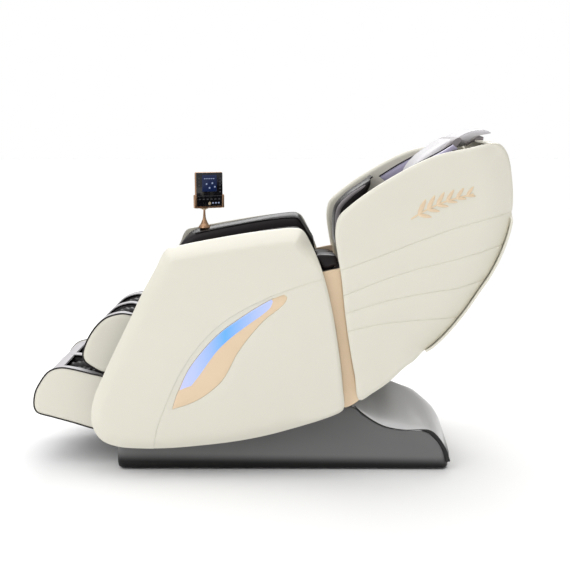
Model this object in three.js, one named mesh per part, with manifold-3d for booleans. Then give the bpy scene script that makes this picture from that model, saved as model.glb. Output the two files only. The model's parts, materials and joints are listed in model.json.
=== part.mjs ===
// Reclining massage chair with slide-forward base, extending leg rest and tablet control.
// Millimetres, +Z up. The sitter faces -X; the sitter's left hand is at -Y.
// Origin: floor level, under the centre of the chair's outline.
import * as THREE from 'three';
import { mergeVertices } from 'three/addons/utils/BufferGeometryUtils.js';
import { RoundedBoxGeometry } from 'three/addons/geometries/RoundedBoxGeometry.js';
import Module from 'manifold-3d';

const wasm = await Module();
wasm.setup();

// ---- Driving dimensions ----
const GAP = 0.5; // clearance between neighbouring pieces
const HALF_WIDTH = 400; // outer face of the back shell
const SHELL_THICKNESS = 40;
const ARM_OUTER = 395; // outer face of the arm panel
const ARM_TOP_RIM = 334; // the panel leans in to this at its top edge
const ARM_LOW_RIM = 375;
const ARM_THICKNESS = 18;
const ARM_INNER = 250; // seat side of the armrest
const ARM_TOP_SLOPE = 0.26; // fall of the armrest's top towards the seat
const SEAT_HALF = 240;
const PLATE_IN = 243; // inner face of the seat frame's side plates
const PLATE_OUT = 249;
const BASE_HALF = 300;
const BASE_WALL = 6;
const BASE_TOP = 217;
const RAIL_TOP = 227;
const LEG_HALF = 240;
const PANEL_SKIN = 14;
const WALL_THICKNESS = 30;
const DIVIDER_HALF = 16;
const BACK_FOOT = [118, 452]; // lower end of the back's front face, [x, z]
const BACK_ANGLE = THREE.MathUtils.degToRad(37.8); // from vertical
const BACK_LENGTH = 836;
const BACK_HINGE = [312, 262]; // [x, z]
const LEG_HINGE = [-412, 478];
const HINGE_PIN_REACH = [196, 247]; // nearest and furthest end of each hinge pin from the centre plane
const HINGE_BORE_REACH = 244;
const EXTEND_DIRECTION = [-0.515, -0.857]; // foot rest travel, [x, z]
const ROD_LENGTH = 245; // guide rods of the foot rest
const ROD_Y = 110;
const SOLE_AXLE = [-690, 200]; // [x, z]
const TABLET_AT = [-250, 294];
const TABLET_TURN = THREE.MathUtils.degToRad(25);
const SIDES = [['left', -1], ['right', 1]];

// ---- Side outlines, [x, z] ----
const ARM_OUTLINE = [
  [-324, 766], [-287, 777], [-85, 815], [24, 830], [100, 836], [124, 829], [154, 780], [186, 705],
  [218, 585], [245, 425], [258, 309], [262, 245], [254, 232], [138, 186], [24, 151], [-91, 127],
  [-207, 112], [-322, 102], [-409, 101], [-495, 108], [-547, 130], [-573, 170], [-579, 215],
  [-568, 275], [-526, 371], [-440, 546], [-398, 632], [-354, 710],
];
const ARM_CENTRE = [-150, 450];
const WING_OUTLINE = [
  [312, 273], [297, 353], [283, 426], [263, 561], [250, 679], [237, 755], [229, 825], [239, 875],
  [275, 912], [375, 984], [539, 1070], [659, 1098], [716, 1104], [746, 1091], [766, 1066], [777, 1038],
  [787, 985], [789, 920], [783, 852], [762, 778], [726, 700], [688, 640], [641, 570], [588, 506],
  [545, 464], [512, 431], [498, 409], [460, 383], [410, 336], [356, 297],
];
const WING_CENTRE = [520, 720];
const REAR_CURVE = [
  [715, 1117], [760, 1111], [783, 1083], [795, 1045], [803, 985], [805, 915], [799, 846], [777, 769],
  [740, 689], [702, 630], [655, 559], [602, 493], [553, 445], [531, 431],
];
const CALF_OUTLINE = [
  [-440, 526], [-462, 530], [-490, 534], [-524, 528], [-550, 517], [-577, 494], [-600, 464],
  [-620, 426], [-630, 388], [-624, 368], [-603, 350], [-560, 328], [-531, 330], [-500, 360],
  [-464, 410], [-440, 456],
];
const FOOT_OUTLINE = [
  [-560, 311], [-604, 323], [-663, 338], [-701, 344], [-730, 340], [-754, 327], [-781, 292],
  [-799, 257], [-805, 222], [-803, 199], [-793, 185], [-744, 170], [-669, 149], [-604, 129],
  [-560, 120], [-542, 132], [-538, 180], [-540, 290],
];

// ---- Materials ----
const paint = (color, roughness, metalness = 0) =>
  new THREE.MeshStandardMaterial({ color, roughness, metalness });
const CREAM = paint(0xe4e2d6, 0.35);
const GOLD = paint(0xd6be96, 0.3, 1);
const BLACK_LEATHER = paint(0x1b1716, 0.45);
const LAVENDER = paint(0xc8c3c8, 0.5);
const GREY_SHELL = paint(0x4a4a4a, 0.3);
const HOOD_GREY = paint(0xb0b0b0, 0.35);
const STEEL = paint(0x33363a, 0.5, 0.8);
const RUBBER = paint(0x141414, 0.9);
const PLASTIC = paint(0x1a1a1c, 0.5);
const LIGHT = paint(0x8fb8ff, 0.2);
const SCREEN = paint(0x10121a, 0.15);

// ---- Geometry helpers ----

/** Closed smooth curve through [x, z] points, as evenly spaced [x, z] points. */
function smooth(points, count) {
  const knots = points.map(([x, z]) => new THREE.Vector3(x, 0, z));
  const curve = new THREE.CatmullRomCurve3(knots, true, 'centripetal');
  return curve.getSpacedPoints(count).slice(0, count).map((p) => [p.x, p.z]);
}

/** Outline shrunk about a centre. */
const scaled = (outline, [cx, cz], s) => outline.map(([x, z]) => [cx + (x - cx) * s, cz + (z - cz) * s]);

const centreOf = (outline) => {
  const sum = outline.reduce(([a, b], [x, z]) => [a + x, b + z], [0, 0]);
  return [sum[0] / outline.length, sum[1] / outline.length];
};

/** Vertices of closed rings of equal point count, and the triangles that join each ring to the next. */
function skinOf(rings) {
  const n = rings[0].length;
  const index = [];
  for (let r = 0; r + 1 < rings.length; r++) {
    for (let i = 0; i < n; i++) {
      const a = r * n + i;
      const b = r * n + ((i + 1) % n);
      index.push(a, b, b + n, a, b + n, a + n);
    }
  }
  return { n, positions: rings.flat(2), index };
}

/** Geometry of a closed mesh, with its faces turned to point out. */
function outward(positions, index) {
  const geometry = new THREE.BufferGeometry();
  geometry.setAttribute('position', new THREE.Float32BufferAttribute(positions, 3));
  geometry.setIndex(signedVolume(positions, index) < 0 ? index.reverse() : index);
  return geometry;
}

/** Closed solid through rings, each end closed by a fan. */
function loft(rings) {
  const { n, positions, index } = skinOf(rings);
  [[rings[0], 0, false], [rings.at(-1), (rings.length - 1) * n, true]].forEach(([ring, start, last]) => {
    const hub = positions.length / 3;
    positions.push(...[0, 1, 2].map((k) => ring.reduce((sum, p) => sum + p[k], 0) / n));
    for (let i = 0; i < n; i++) {
      const [a, b] = [start + i, start + ((i + 1) % n)];
      index.push(...(last ? [a, b, hub] : [b, a, hub]));
    }
  });
  return outward(positions, index);
}

/** Closed solid through rings that are thin curved bands, each end closed across the band. */
function stripLoft(rings) {
  const { n, positions, index } = skinOf(rings);
  [[0, false], [(rings.length - 1) * n, true]].forEach(([start, last]) => {
    for (let i = 0; i + 1 < n / 2; i++) {
      const [a, b, c, d] = [start + i, start + i + 1, start + n - 2 - i, start + n - 1 - i];
      index.push(...(last ? [a, b, c, a, c, d] : [b, a, c, c, a, d]));
    }
  });
  return outward(positions, index);
}

function signedVolume(positions, index) {
  let volume = 0;
  const at = (i) => new THREE.Vector3().fromArray(positions, index[i] * 3);
  for (let i = 0; i < index.length; i += 3) {
    volume += at(i).dot(at(i + 1).cross(at(i + 2)));
  }
  return volume;
}

/** Flat prism of an [x, z] outline between y0 and y1. */
function prism(outline, y0, y1) {
  const shape = new THREE.Shape(outline.map(([x, z]) => new THREE.Vector2(x, z)));
  const geometry = new THREE.ExtrudeGeometry(shape, { depth: y1 - y0, bevelEnabled: false });
  return geometry.rotateX(Math.PI / 2).translate(0, y1, 0);
}

/** Prism between two distances from the centre plane, on one side. */
const sidePrism = (outline, side, near, far) =>
  side > 0 ? prism(outline, near, far) : prism(outline, -far, -near);

const box = (x0, x1, y0, y1, z0, z1) =>
  new THREE.BoxGeometry(x1 - x0, y1 - y0, z1 - z0).translate((x0 + x1) / 2, (y0 + y1) / 2, (z0 + z1) / 2);

const sideBox = (side, x0, x1, near, far, z0, z1) =>
  side > 0 ? box(x0, x1, near, far, z0, z1) : box(x0, x1, -far, -near, z0, z1);

const softBox = (x0, x1, y0, y1, z0, z1, radius) =>
  new RoundedBoxGeometry(x1 - x0, y1 - y0, z1 - z0, 1, radius)
    .translate((x0 + x1) / 2, (y0 + y1) / 2, (z0 + z1) / 2);

/** Cylinder along Y. */
const barY = (x, z, radius, y0, y1, sides = 20) =>
  new THREE.CylinderGeometry(radius, radius, y1 - y0, sides).translate(x, (y0 + y1) / 2, z);

const sideBarY = (side, x, z, radius, near, far, sides) =>
  side > 0 ? barY(x, z, radius, near, far, sides) : barY(x, z, radius, -far, -near, sides);

/** Cylinder between two points. */
function bar(from, to, radius, sides = 12) {
  const a = new THREE.Vector3(...from);
  const b = new THREE.Vector3(...to);
  const length = a.distanceTo(b);
  const geometry = new THREE.CylinderGeometry(radius, radius, length, sides).translate(0, length / 2, 0);
  const turn = new THREE.Quaternion().setFromUnitVectors(new THREE.Vector3(0, 1, 0), b.sub(a).normalize());
  return geometry.applyQuaternion(turn).translate(a.x, a.y, a.z);
}

function toSolid(geometry) {
  const bare = geometry.clone();
  bare.deleteAttribute('normal');
  bare.deleteAttribute('uv');
  const merged = mergeVertices(bare, 1e-3);
  return new wasm.Manifold(new wasm.Mesh({
    numProp: 3,
    vertProperties: new Float32Array(merged.attributes.position.array),
    triVerts: new Uint32Array(merged.index.array),
  }));
}

function fromSolid(solid) {
  const mesh = solid.getMesh();
  const geometry = new THREE.BufferGeometry();
  geometry.setAttribute('position', new THREE.BufferAttribute(mesh.vertProperties, 3));
  geometry.setIndex(new THREE.BufferAttribute(mesh.triVerts, 1));
  return geometry;
}

const join = (...parts) => fromSolid(parts.map(toSolid).reduce((a, b) => a.add(b)));
const cut = (body, ...tools) =>
  fromSolid(tools.reduce((solid, tool) => solid.subtract(toSolid(tool)), toSolid(body)));

const chair = new THREE.Group();
function add(name, geometry, material, parent = chair) {
  const mesh = new THREE.Mesh(geometry, material);
  mesh.name = name;
  parent.add(mesh);
}

// ---- Base: hollow moulded housing open underneath, rear hood, steel chassis ----

// Stations along X: [x, inset of the side at the rounded ends, height of the shoulder line].
const BASE_STATIONS = [
  [-512, 22, 196], [-507, 10, 208], [-497, 3, 214], [-478, 0, BASE_TOP], [290, 0, BASE_TOP],
  [315, 0, 208], [406, 0, 150], [450, 0, 138], [541, 0, 134], [594, 12, 99], [613, 24, 67], [626, 40, 30],
];
const BAND_TOP = 54;
const SIDE_LEAN = 34; // how far the side leans in between the band and the shoulder

function baseSection([x, inset, shoulder], offset, bottom) {
  const half = BASE_HALF - inset - offset;
  const band = Math.min(BAND_TOP, shoulder * 0.7);
  const lean = SIDE_LEAN * (shoulder - band) / (BASE_TOP - BAND_TOP);
  const top = shoulder - offset;
  const right = [[half, bottom], [half, band], [half - 5, band + 6 * band / BAND_TOP],
    [half - lean - 5, top]];
  const left = right.map(([y, z]) => [-y, z]).reverse();
  return [...right, ...left].map(([y, z]) => [x, y, z]);
}

const RAIL_Y = 200;
const WHEEL_AXLE = [530, 27]; // [x, z]
const UPRIGHT_X = [-360, 160];
const ACTUATOR_Z = 190; // height of the slide actuator's axis
const ACTUATOR_POST_X = [186, 214];
const SLOT_X = [-240, 15]; // opening in the housing's top for the slide actuator's lug

function buildBase() {
  const outer = loft(BASE_STATIONS.map((s) => baseSection(s, 0, 4)));
  const innerStations = BASE_STATIONS.map(([x, inset, top], i) =>
    [x + (i < 4 ? BASE_WALL : 0) - (i > 8 ? BASE_WALL : 0), inset, top]);
  const inner = loft(innerStations.map((s) => baseSection(s, BASE_WALL, -5)));
  const slot = box(...SLOT_X, -16, 16, BASE_TOP - 20, BASE_TOP + 20);
  const holes = UPRIGHT_X.flatMap((x) => SIDES.map(([, side]) =>
    box(x - 17, x + 17, side * RAIL_Y - 12, side * RAIL_Y + 12, BASE_TOP - 20, BASE_TOP + 20)));
  add('base_shell', cut(outer, inner, slot, ...holes), GREY_SHELL);

  const tops = [[296, 221], [315, 234], [350, 262], [406, 285], [450, 289], [498, 280], [541, 244],
    [559, 226], [594, 173], [613, 138], [626, 106], [630, 84]];
  const shoulder = (x) => {
    const i = BASE_STATIONS.findIndex(([sx]) => sx > x);
    if (i < 0) return [44, 34];
    const [a, b] = [BASE_STATIONS[i - 1], BASE_STATIONS[i]];
    const t = (x - a[0]) / (b[0] - a[0]);
    return [a[1] + (b[1] - a[1]) * t, a[2] + (b[2] - a[2]) * t];
  };
  const hood = tops.map(([x, top]) => {
    const [inset, foot] = shoulder(x);
    const half = BASE_HALF - SIDE_LEAN - inset;
    const low = foot + GAP;
    const right = [[half, low], [half - 14, low + (top - low) * 0.5], [half - 60, low + (top - low) * 0.88],
      [half - 130, top]];
    const left = right.map(([y, z]) => [-y, z]).reverse();
    return [...right, ...left].map(([y, z]) => [x, y, z]);
  });
  add('base_hood', loft(hood), HOOD_GREY);

  const railZ = BASE_TOP + 2;
  const frame = SIDES.flatMap(([, side]) => {
    const y = side * RAIL_Y;
    return [
      box(-470, 560, y - 18, y + 18, 16, 46),
      box(-420, 230, y - 15, y + 15, railZ, RAIL_TOP),
      ...UPRIGHT_X.map((x) => box(x - 15, x + 15, y - 10, y + 10, 40, railZ + 2)),
      sideBarY(side, ...WHEEL_AXLE, 5, RAIL_Y, 252, 18),
    ];
  });
  const crossMembers = [-455, -100, 500].map((x) => box(x - 20, x + 20, -RAIL_Y, RAIL_Y, 18, 44));
  const actuatorPost = box(...ACTUATOR_POST_X, -12, 12, 40, 172);
  const actuatorTie = box(...ACTUATOR_POST_X, -RAIL_Y, RAIL_Y, 18, 44);
  add('base_chassis', join(...frame, ...crossMembers, actuatorPost, actuatorTie), STEEL);

  add('foot_skid_front', softBox(-480, -420, -235, 235, 0, 15.5, 4), RUBBER);
  add('foot_skid_rear', softBox(445, 505, -190, 190, 0, 15.5, 4), RUBBER);
  SIDES.forEach(([name, side]) => {
    const wheel = new THREE.LatheGeometry([
      [5.8, -10], [21, -10], [24, -6], [24, 6], [21, 10], [5.8, 10], [5.8, -10],
    ].map(([r, h]) => new THREE.Vector2(r, h)), 18);
    add(`transport_wheel_${name}`, wheel.translate(WHEEL_AXLE[0], side * 236, WHEEL_AXLE[1]), RUBBER);
  });

  // Mains inlet and rocker switch on the rear end.
  const plateX = 631;
  const inletRecess = box(plateX + 4, plateX + 20, 66, 94, 32, 52);
  const switchRecess = box(plateX + 4, plateX + 20, 108, 123, 31, 53);
  add('power_inlet', cut(box(plateX, plateX + 14, 55, 135, 22, 62), inletRecess, switchRecess), PLASTIC);
  add('power_switch', box(plateX + 9, plateX + 16, 108.6, 122.4, 32, 52), RUBBER);
  const actuator = join(
    bar([60, 0, ACTUATOR_Z], [272, 0, ACTUATOR_Z], 17, 16), box(...ACTUATOR_POST_X, -19, 19, 172.5, 207));
  add('seat_actuator_body', cut(actuator, bar([50, 0, ACTUATOR_Z], [266, 0, ACTUATOR_Z], 9, 12)), STEEL);
}

// ---- Seat body: frame, cushion, armrests and their trim ----

function buildSeatFrame() {
  const plate = [[-425, 466], [-398, 466], [-384, 478], [-360, 430], [-330, 372], [110, 352], [200, 290],
    [330, 280], [330, 240], [300, 229], [-380, 229], [-400, 300], [-432, 440]];
  const sides = SIDES.flatMap(([, side]) => [
    sidePrism(plate, side, PLATE_IN, PLATE_OUT),
    sideBox(side, -400, 250, RAIL_Y - 14, RAIL_Y + 14, 229, 252),
    sideBox(side, -430, -394, PLATE_IN, PLATE_OUT, 460, 494),
    sideBarY(side, ...LEG_HINGE, 8, ...HINGE_PIN_REACH, 18),
    sideBarY(side, ...BACK_HINGE, 10, ...HINGE_PIN_REACH, 18),
  ]);
  const cross = [-330, -20, 240].map((x) => box(x - 15, x + 15, -245, 245, 231, 251));
  const armTies = [-250, 60].map((x) => box(x - 15, x + 15, -355, 355, 255, 275));
  const pan = [-300, -100, 80].map((x) => box(x - 12, x + 12, -246, 246, 340, 356));
  const slots = SIDES.map(([, side]) => sideBox(side, -250, 60, PLATE_IN, PLATE_OUT, 250, 280));
  add('seat_frame', join(...sides, ...cross, ...armTies, ...pan, ...slots), STEEL);
  const rod = join(
    bar([-90, 0, ACTUATOR_Z], [260, 0, ACTUATOR_Z], 8, 12), box(-36, -8, -12, 12, 186, 230),
    barY(-22, ACTUATOR_Z, 13, -12, 12));
  add('seat_actuator_rod', rod, STEEL);
}

function buildSeat() {
  const cushion = [
    [-352, 400], [-358, 470], [-350, 508], [-320, 524], [-260, 522], [-60, 494], [70, 476], [98, 466],
    [104, 430], [96, 372], [60, 362], [-200, 364], [-320, 372],
  ];
  const outline = smooth(cushion, 28);
  const centre = centreOf(outline);
  const rings = [[0.7, -SEAT_HALF], [0.93, -SEAT_HALF + 6], [1, -SEAT_HALF + 30], [1, SEAT_HALF - 30],
    [0.93, SEAT_HALF - 6], [0.7, SEAT_HALF]];
  const seat = loft(rings.map(([s, y]) => scaled(outline, centre, s).map(([x, z]) => [x, y, z])));
  add('seat_cushion', seat, BLACK_LEATHER);

  SIDES.forEach(([name, side]) => {
    add(`arm_panel_${name}`, armPanel(side), CREAM);
    add(`arm_pad_${name}`, armPad(side), BLACK_LEATHER);
    add(`accent_trim_${name}`, sidePrism(accentOutline(), side, ARM_OUTER + GAP, ARM_OUTER + 4), GOLD);
    add(`light_strip_${name}`, sidePrism(lightOutline(), side, ARM_OUTER + GAP, ARM_OUTER + 3), LIGHT);
    const post = [[182, 692], [190, 700], [256, 708], [316, 266], [306, 250], [262, 236]];
    add(`corner_post_${name}`, sidePrism(post, side, 335, 354), GOLD);
    const bridge = [[176, 743], [234, 741], [238, 732], [243, 714], [196, 704], [190, 714]];
    add(`arm_bridge_${name}`, sidePrism(bridge, side, 256, 352), BLACK_LEATHER);
  });
  add('recline_motor', join(barY(262, 318, 24, -60, 60, 16), box(238, 262, -20, 20, 252, 318)), STEEL);
  add('leg_motor', join(barY(-330, 300, 24, -60, 60, 16), box(-345, -315, -20, 20, 252, 290)), STEEL);
}

/** Panel: full width in the middle, leaning in to a rim that is narrower at the top. */
function armPanel(side) {
  const outline = smooth(ARM_OUTLINE, 44);
  const rim = (z) => THREE.MathUtils.lerp(ARM_LOW_RIM, ARM_TOP_RIM, THREE.MathUtils.smoothstep(z, 705, 790));
  const face = (s, z) => {
    const t = Math.min(1, (1 - s) / 0.12);
    return THREE.MathUtils.lerp(rim(z), ARM_OUTER, Math.sin(t * Math.PI / 2));
  };
  const ring = (s, depth) => scaled(outline, ARM_CENTRE, s).map(([x, z], i) =>
    [x, side * (face(s, outline[i][1]) - depth), z]);
  const inner = [0.3, 0.88, 1].map((s) => ring(s, ARM_THICKNESS));
  const outer = [1, 0.985, 0.94, 0.88, 0.3].map((s, i) => ring(s, i ? 0 : 5));
  return loft([...inner, ...outer]);
}

/** Armrest core: its top slopes down from the panel towards the seat. */
function armPad(side) {
  const top = [[-310, 758], [-284, 772], [-85, 811], [24, 826], [98, 831], [122, 820], [140, 790]];
  const drop = (far) => (ARM_TOP_RIM - far) * ARM_TOP_SLOPE;
  const ring = (y, shrink) => {
    const upper = top.map(([x, z]) => [x * (1 - shrink) - 85 * shrink, z - drop(y) - shrink * 120]);
    const lower = [[146, 700], [168, 600], [190, 450], [200, 330], [180, 290], [-500, 290], [-540, 306],
      [-522, 355], [-436, 540], [-352, 706]];
    return [...upper, ...lower.map(([x, z]) => [x * (1 - shrink) - 85 * shrink, z + shrink * 60])]
      .map(([x, z]) => [x, side * y, z]);
  };
  return loft([ring(ARM_INNER, 0.05), ring(ARM_INNER + 8, 0), ring(314, 0)]);
}

function accentOutline() {
  return smooth([[-305, 241], [-258, 256], [-214, 277], [-175, 305], [-139, 341], [-116, 380], [-95, 422],
    [-71, 458], [-36, 503], [2, 544], [37, 571], [62, 592], [71, 616], [58, 624], [36, 608], [18, 584],
    [-8, 560], [-48, 528], [-108, 480], [-152, 438], [-186, 396], [-216, 352], [-244, 314], [-290, 290]], 40);
}

function lightOutline() {
  return [[-280, 308], [-257, 364], [-227, 409], [-182, 463], [-138, 505], [-94, 537], [-50, 567], [-6, 594],
    [26, 612], [22, 600], [8, 582], [-13, 563], [-55, 531], [-114, 485], [-158, 443], [-192, 400],
    [-222, 356], [-248, 320]];
}

// ---- Backrest: built in a tilted frame, x = depth behind the sitter's back, z = along the back ----

const backGroup = new THREE.Group();
backGroup.position.set(BACK_FOOT[0], 0, BACK_FOOT[1]);
backGroup.rotation.y = BACK_ANGLE;
chair.add(backGroup);

const toBackFrame = ([x, z]) => {
  const [dx, dz] = [x - BACK_FOOT[0], z - BACK_FOOT[1]];
  const [c, s] = [Math.cos(BACK_ANGLE), Math.sin(BACK_ANGLE)];
  return [dx * c - dz * s, dx * s + dz * c];
};

const RAIL_DEPTH = [100, 130];
const MECH_RAIL = [190, 214];
const SHELL_TIE_DEPTH = 224; // cross ties that carry the wings, clear of the carriage motor
const SHELL_TIE_Z = [300, 620];
const CARRIAGE_Z = 400;

function buildBack() {
  const [hx, hz] = toBackFrame(BACK_HINGE);
  const bracket = [[100, 40], [130, 60], [160, 70], [hx + 20, hz + 20], [hx + 22, hz - 14], [hx, hz - 22],
    [130, -24], [100, -24]];
  const rails = SIDES.flatMap(([, side]) => [
    sideBox(side, ...RAIL_DEPTH, ...MECH_RAIL, -24, 800),
    sidePrism(bracket, side, 196, 210),
  ]);
  const tube = barY(hx, hz, 18, -242, 242, 18);
  const tie = (x, z, reach) => box(x - 12, x + 12, -reach, reach, z - 12, z + 12);
  const ties = [tie(115, 20, 200), tie(115, 784, 200),
    ...SHELL_TIE_Z.map((z) => tie(SHELL_TIE_DEPTH, z, 356))];
  const outriggers = SIDES.flatMap(([, side]) => SHELL_TIE_Z.map((z) =>
    sideBox(side, 110, SHELL_TIE_DEPTH, ...MECH_RAIL, z - 12, z + 12)));
  const bore = barY(hx, hz, 10.8, -HINGE_BORE_REACH, HINGE_BORE_REACH, 18);
  add('back_frame', cut(join(...rails, tube, ...ties, ...outriggers), bore), STEEL, backGroup);
  add('back_pad', softBox(0, 48, -232, 232, 4, BACK_LENGTH, 20), BLACK_LEATHER, backGroup);

  SIDES.forEach(([name, side]) => {
    add(`back_wing_${name}`, wing(side), CREAM);
    const bolster = (inset) => [[290, 640], [268, 700], [253, 735], [248, 800], [258, 866], [300, 914],
      [350, 950], [398, 982], [424, 976], [436, 944], [430, 880], [400, 800], [364, 710], [325, 630]]
      .map(([x, z], i) => (i < 7 ? [x + inset, z - inset] : [x, z]));
    const rings = [[34, 236], [8, 262], [0, 300], [0, 350], [3, 355]];
    const section = ([inset, y]) => bolster(inset).map(([x, z]) => [x, side * y, z]);
    add(`side_bolster_${name}`, stripLoft(rings.map(section)), BLACK_LEATHER);
  });
  add('rear_cover', rearCover(), CREAM);

  const pillow = smooth([[640, 1112], [650, 1134], [671, 1149], [698, 1158], [725, 1161], [760, 1156],
    [776, 1146], [770, 1136], [745, 1130], [718, 1120], [690, 1108], [660, 1100]], 30);
  const pc = centreOf(pillow);
  add('head_pillow', loft([[0.6, -150], [1, -125], [1, 125], [0.6, 150]].map(([s, y]) =>
    scaled(pillow, pc, s).map(([x, z]) => [x, y, z]))), LAVENDER);
}

/** Side shell of the back, crowned towards its middle. */
function wing(side) {
  const outline = smooth(WING_OUTLINE, 44);
  const ring = (s, y) => scaled(outline, WING_CENTRE, s).map(([x, z]) => [x, side * y, z]);
  const inner = HALF_WIDTH - SHELL_THICKNESS;
  return loft([ring(0.5, inner), ring(1, inner), ring(1, HALF_WIDTH - 14), ring(0.985, HALF_WIDTH - 5),
    ring(0.95, HALF_WIDTH), ring(0.5, HALF_WIDTH)]);
}

/** Rear cover: a curved band behind both wings, crowned across its width. */
function rearCover() {
  const thickness = 9;
  const knots = REAR_CURVE.map(([x, z]) => new THREE.Vector3(x, 0, z));
  const curve = new THREE.CatmullRomCurve3(knots, false, 'centripetal');
  const count = 18;
  const points = curve.getSpacedPoints(count);
  const normals = points.map((p, i) => {
    const t = curve.getTangentAt(i / count);
    return new THREE.Vector3(-t.z, 0, t.x);
  });
  const section = (y, out) => {
    const offset = (d) => points.map((p, i) => p.clone().addScaledVector(normals[i], d));
    return [...offset(out), ...offset(out - thickness).reverse()].map((p) => [p.x, y, p.z]);
  };
  const stations = [[-396, -3], [-388, 0], [-200, 0], [0, 0], [200, 0], [388, 0], [396, -3]];
  return stripLoft(stations.map(([y, out]) => section(y, out)));
}

// ---- Massage carriage that runs along the back rails ----

const ROLLER_RADIUS = 26;
const ROLLER_DEPTH = 78;
const ROLLER_Y = 62;
const ROLLER_SPREAD = 62;

function buildCarriage() {
  const rollerAt = [['upper', CARRIAGE_Z + ROLLER_SPREAD], ['lower', CARRIAGE_Z - ROLLER_SPREAD]];
  const arms = SIDES.flatMap(([, side]) => [
    ...rollerAt.map(([, z]) => bar([ROLLER_DEPTH, side * 40, z], [140, side * 40, CARRIAGE_Z], 7)),
    ...rollerAt.map(([, z]) =>
      sideBarY(side, ROLLER_DEPTH, z, 5, 34, 78, 18)),
    sideBox(side, 106, 124, 175, 189, CARRIAGE_Z - 40, CARRIAGE_Z + 40),
  ]);
  const body = box(132, 150, -170, 170, CARRIAGE_Z - 40, CARRIAGE_Z + 40);
  const shoes = SIDES.map(([, side]) =>
    sideBox(side, 106, 150, 166, 188, CARRIAGE_Z - 40, CARRIAGE_Z + 40));
  add('carriage_frame', join(body, ...arms, ...shoes), STEEL, backGroup);
  add('carriage_motor', join(barY(178, CARRIAGE_Z, 27, -70, 60), box(150 + GAP, 165, -50, 50, CARRIAGE_Z - 20,
    CARRIAGE_Z + 20)), PLASTIC, backGroup);
  const roller = [[5.8, -12], [22, -12], [ROLLER_RADIUS, -3], [ROLLER_RADIUS, 3], [22, 12], [5.8, 12],
    [5.8, -12]]
    .map(([r, h]) => new THREE.Vector2(r, h));
  SIDES.forEach(([name, side]) => rollerAt.forEach(([level, z]) => {
    const wheel = new THREE.LatheGeometry(roller, 18).translate(ROLLER_DEPTH, side * ROLLER_Y, z);
    add(`massage_roller_${level}_${name}`, wheel, PLASTIC, backGroup);
  }));
}

// ---- Leg rest: calf section on the seat hinge, foot section sliding out of it ----

function buildCalf() {
  const outline = smooth(CALF_OUTLINE, 28);
  const well = [[-440, 462], [-470, 418], [-505, 372], [-535, 342], [-560, 336], [-590, 352], [-560, 372],
    [-520, 404], [-484, 448], [-452, 500], [-440, 508]];
  SIDES.forEach(([name, side]) => {
    add(`calf_panel_${name}`, rimmed(outline, side, LEG_HALF - PANEL_SKIN, LEG_HALF, 0.97), CREAM);
    add(`calf_wall_${name}`, rimmed(outline, side, LEG_HALF - PANEL_SKIN - GAP - WALL_THICKNESS,
      LEG_HALF - PANEL_SKIN - GAP, 1), BLACK_LEATHER);
  });
  const padHalf = LEG_HALF - PANEL_SKIN - WALL_THICKNESS - 3 * GAP;
  add('calf_pad', prism(well, -padHalf, padHalf), BLACK_LEATHER);
  const crest = smooth([[-446, 520], [-490, 532], [-524, 528], [-550, 517], [-577, 494], [-600, 464],
    [-620, 426], [-629, 390], [-618, 366], [-596, 356], [-560, 376], [-520, 408], [-484, 452],
    [-456, 498]], 32);
  add('calf_divider', prism(crest, -DIVIDER_HALF, DIVIDER_HALF), BLACK_LEATHER);

  const [hx, hz] = LEG_HINGE;
  const back = [[-432, 462], [-420, 470], [-404, 462], [-424, 424], [-458, 372], [-496, 326], [-524, 314],
    [-534, 322], [-508, 336], [-470, 384], [-442, 428]];
  const hinge = barY(hx, hz, 14, -242, 242, 18);
  const sockets = SIDES.map(([, side]) => bar([-452, side * ROD_Y, 340], [-484, side * ROD_Y, 287], 14, 12));
  const bores = SIDES.map(([, side]) => bar([-440, side * ROD_Y, 360], [-495, side * ROD_Y, 268.5], 9, 12));
  add('calf_frame', cut(join(prism(back, -222, 222), hinge, ...sockets,
    ...SIDES.map(([, side]) => sideBox(side, -470, -452, ROD_Y - 10, ROD_Y + 10, 330, 380))),
  ...bores, barY(hx, hz, 8.8, -HINGE_BORE_REACH, HINGE_BORE_REACH, 18)), PLASTIC);
}

/** Side skin: flat prism with an eased outer edge. */
function rimmed(outline, side, near, far, ease) {
  const c = centreOf(outline);
  const ring = (s, y) => scaled(outline, c, s).map(([x, z]) => [x, side * y, z]);
  return loft([ring(1, near), ring(1, far - 4), ring(ease, far)]);
}

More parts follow.
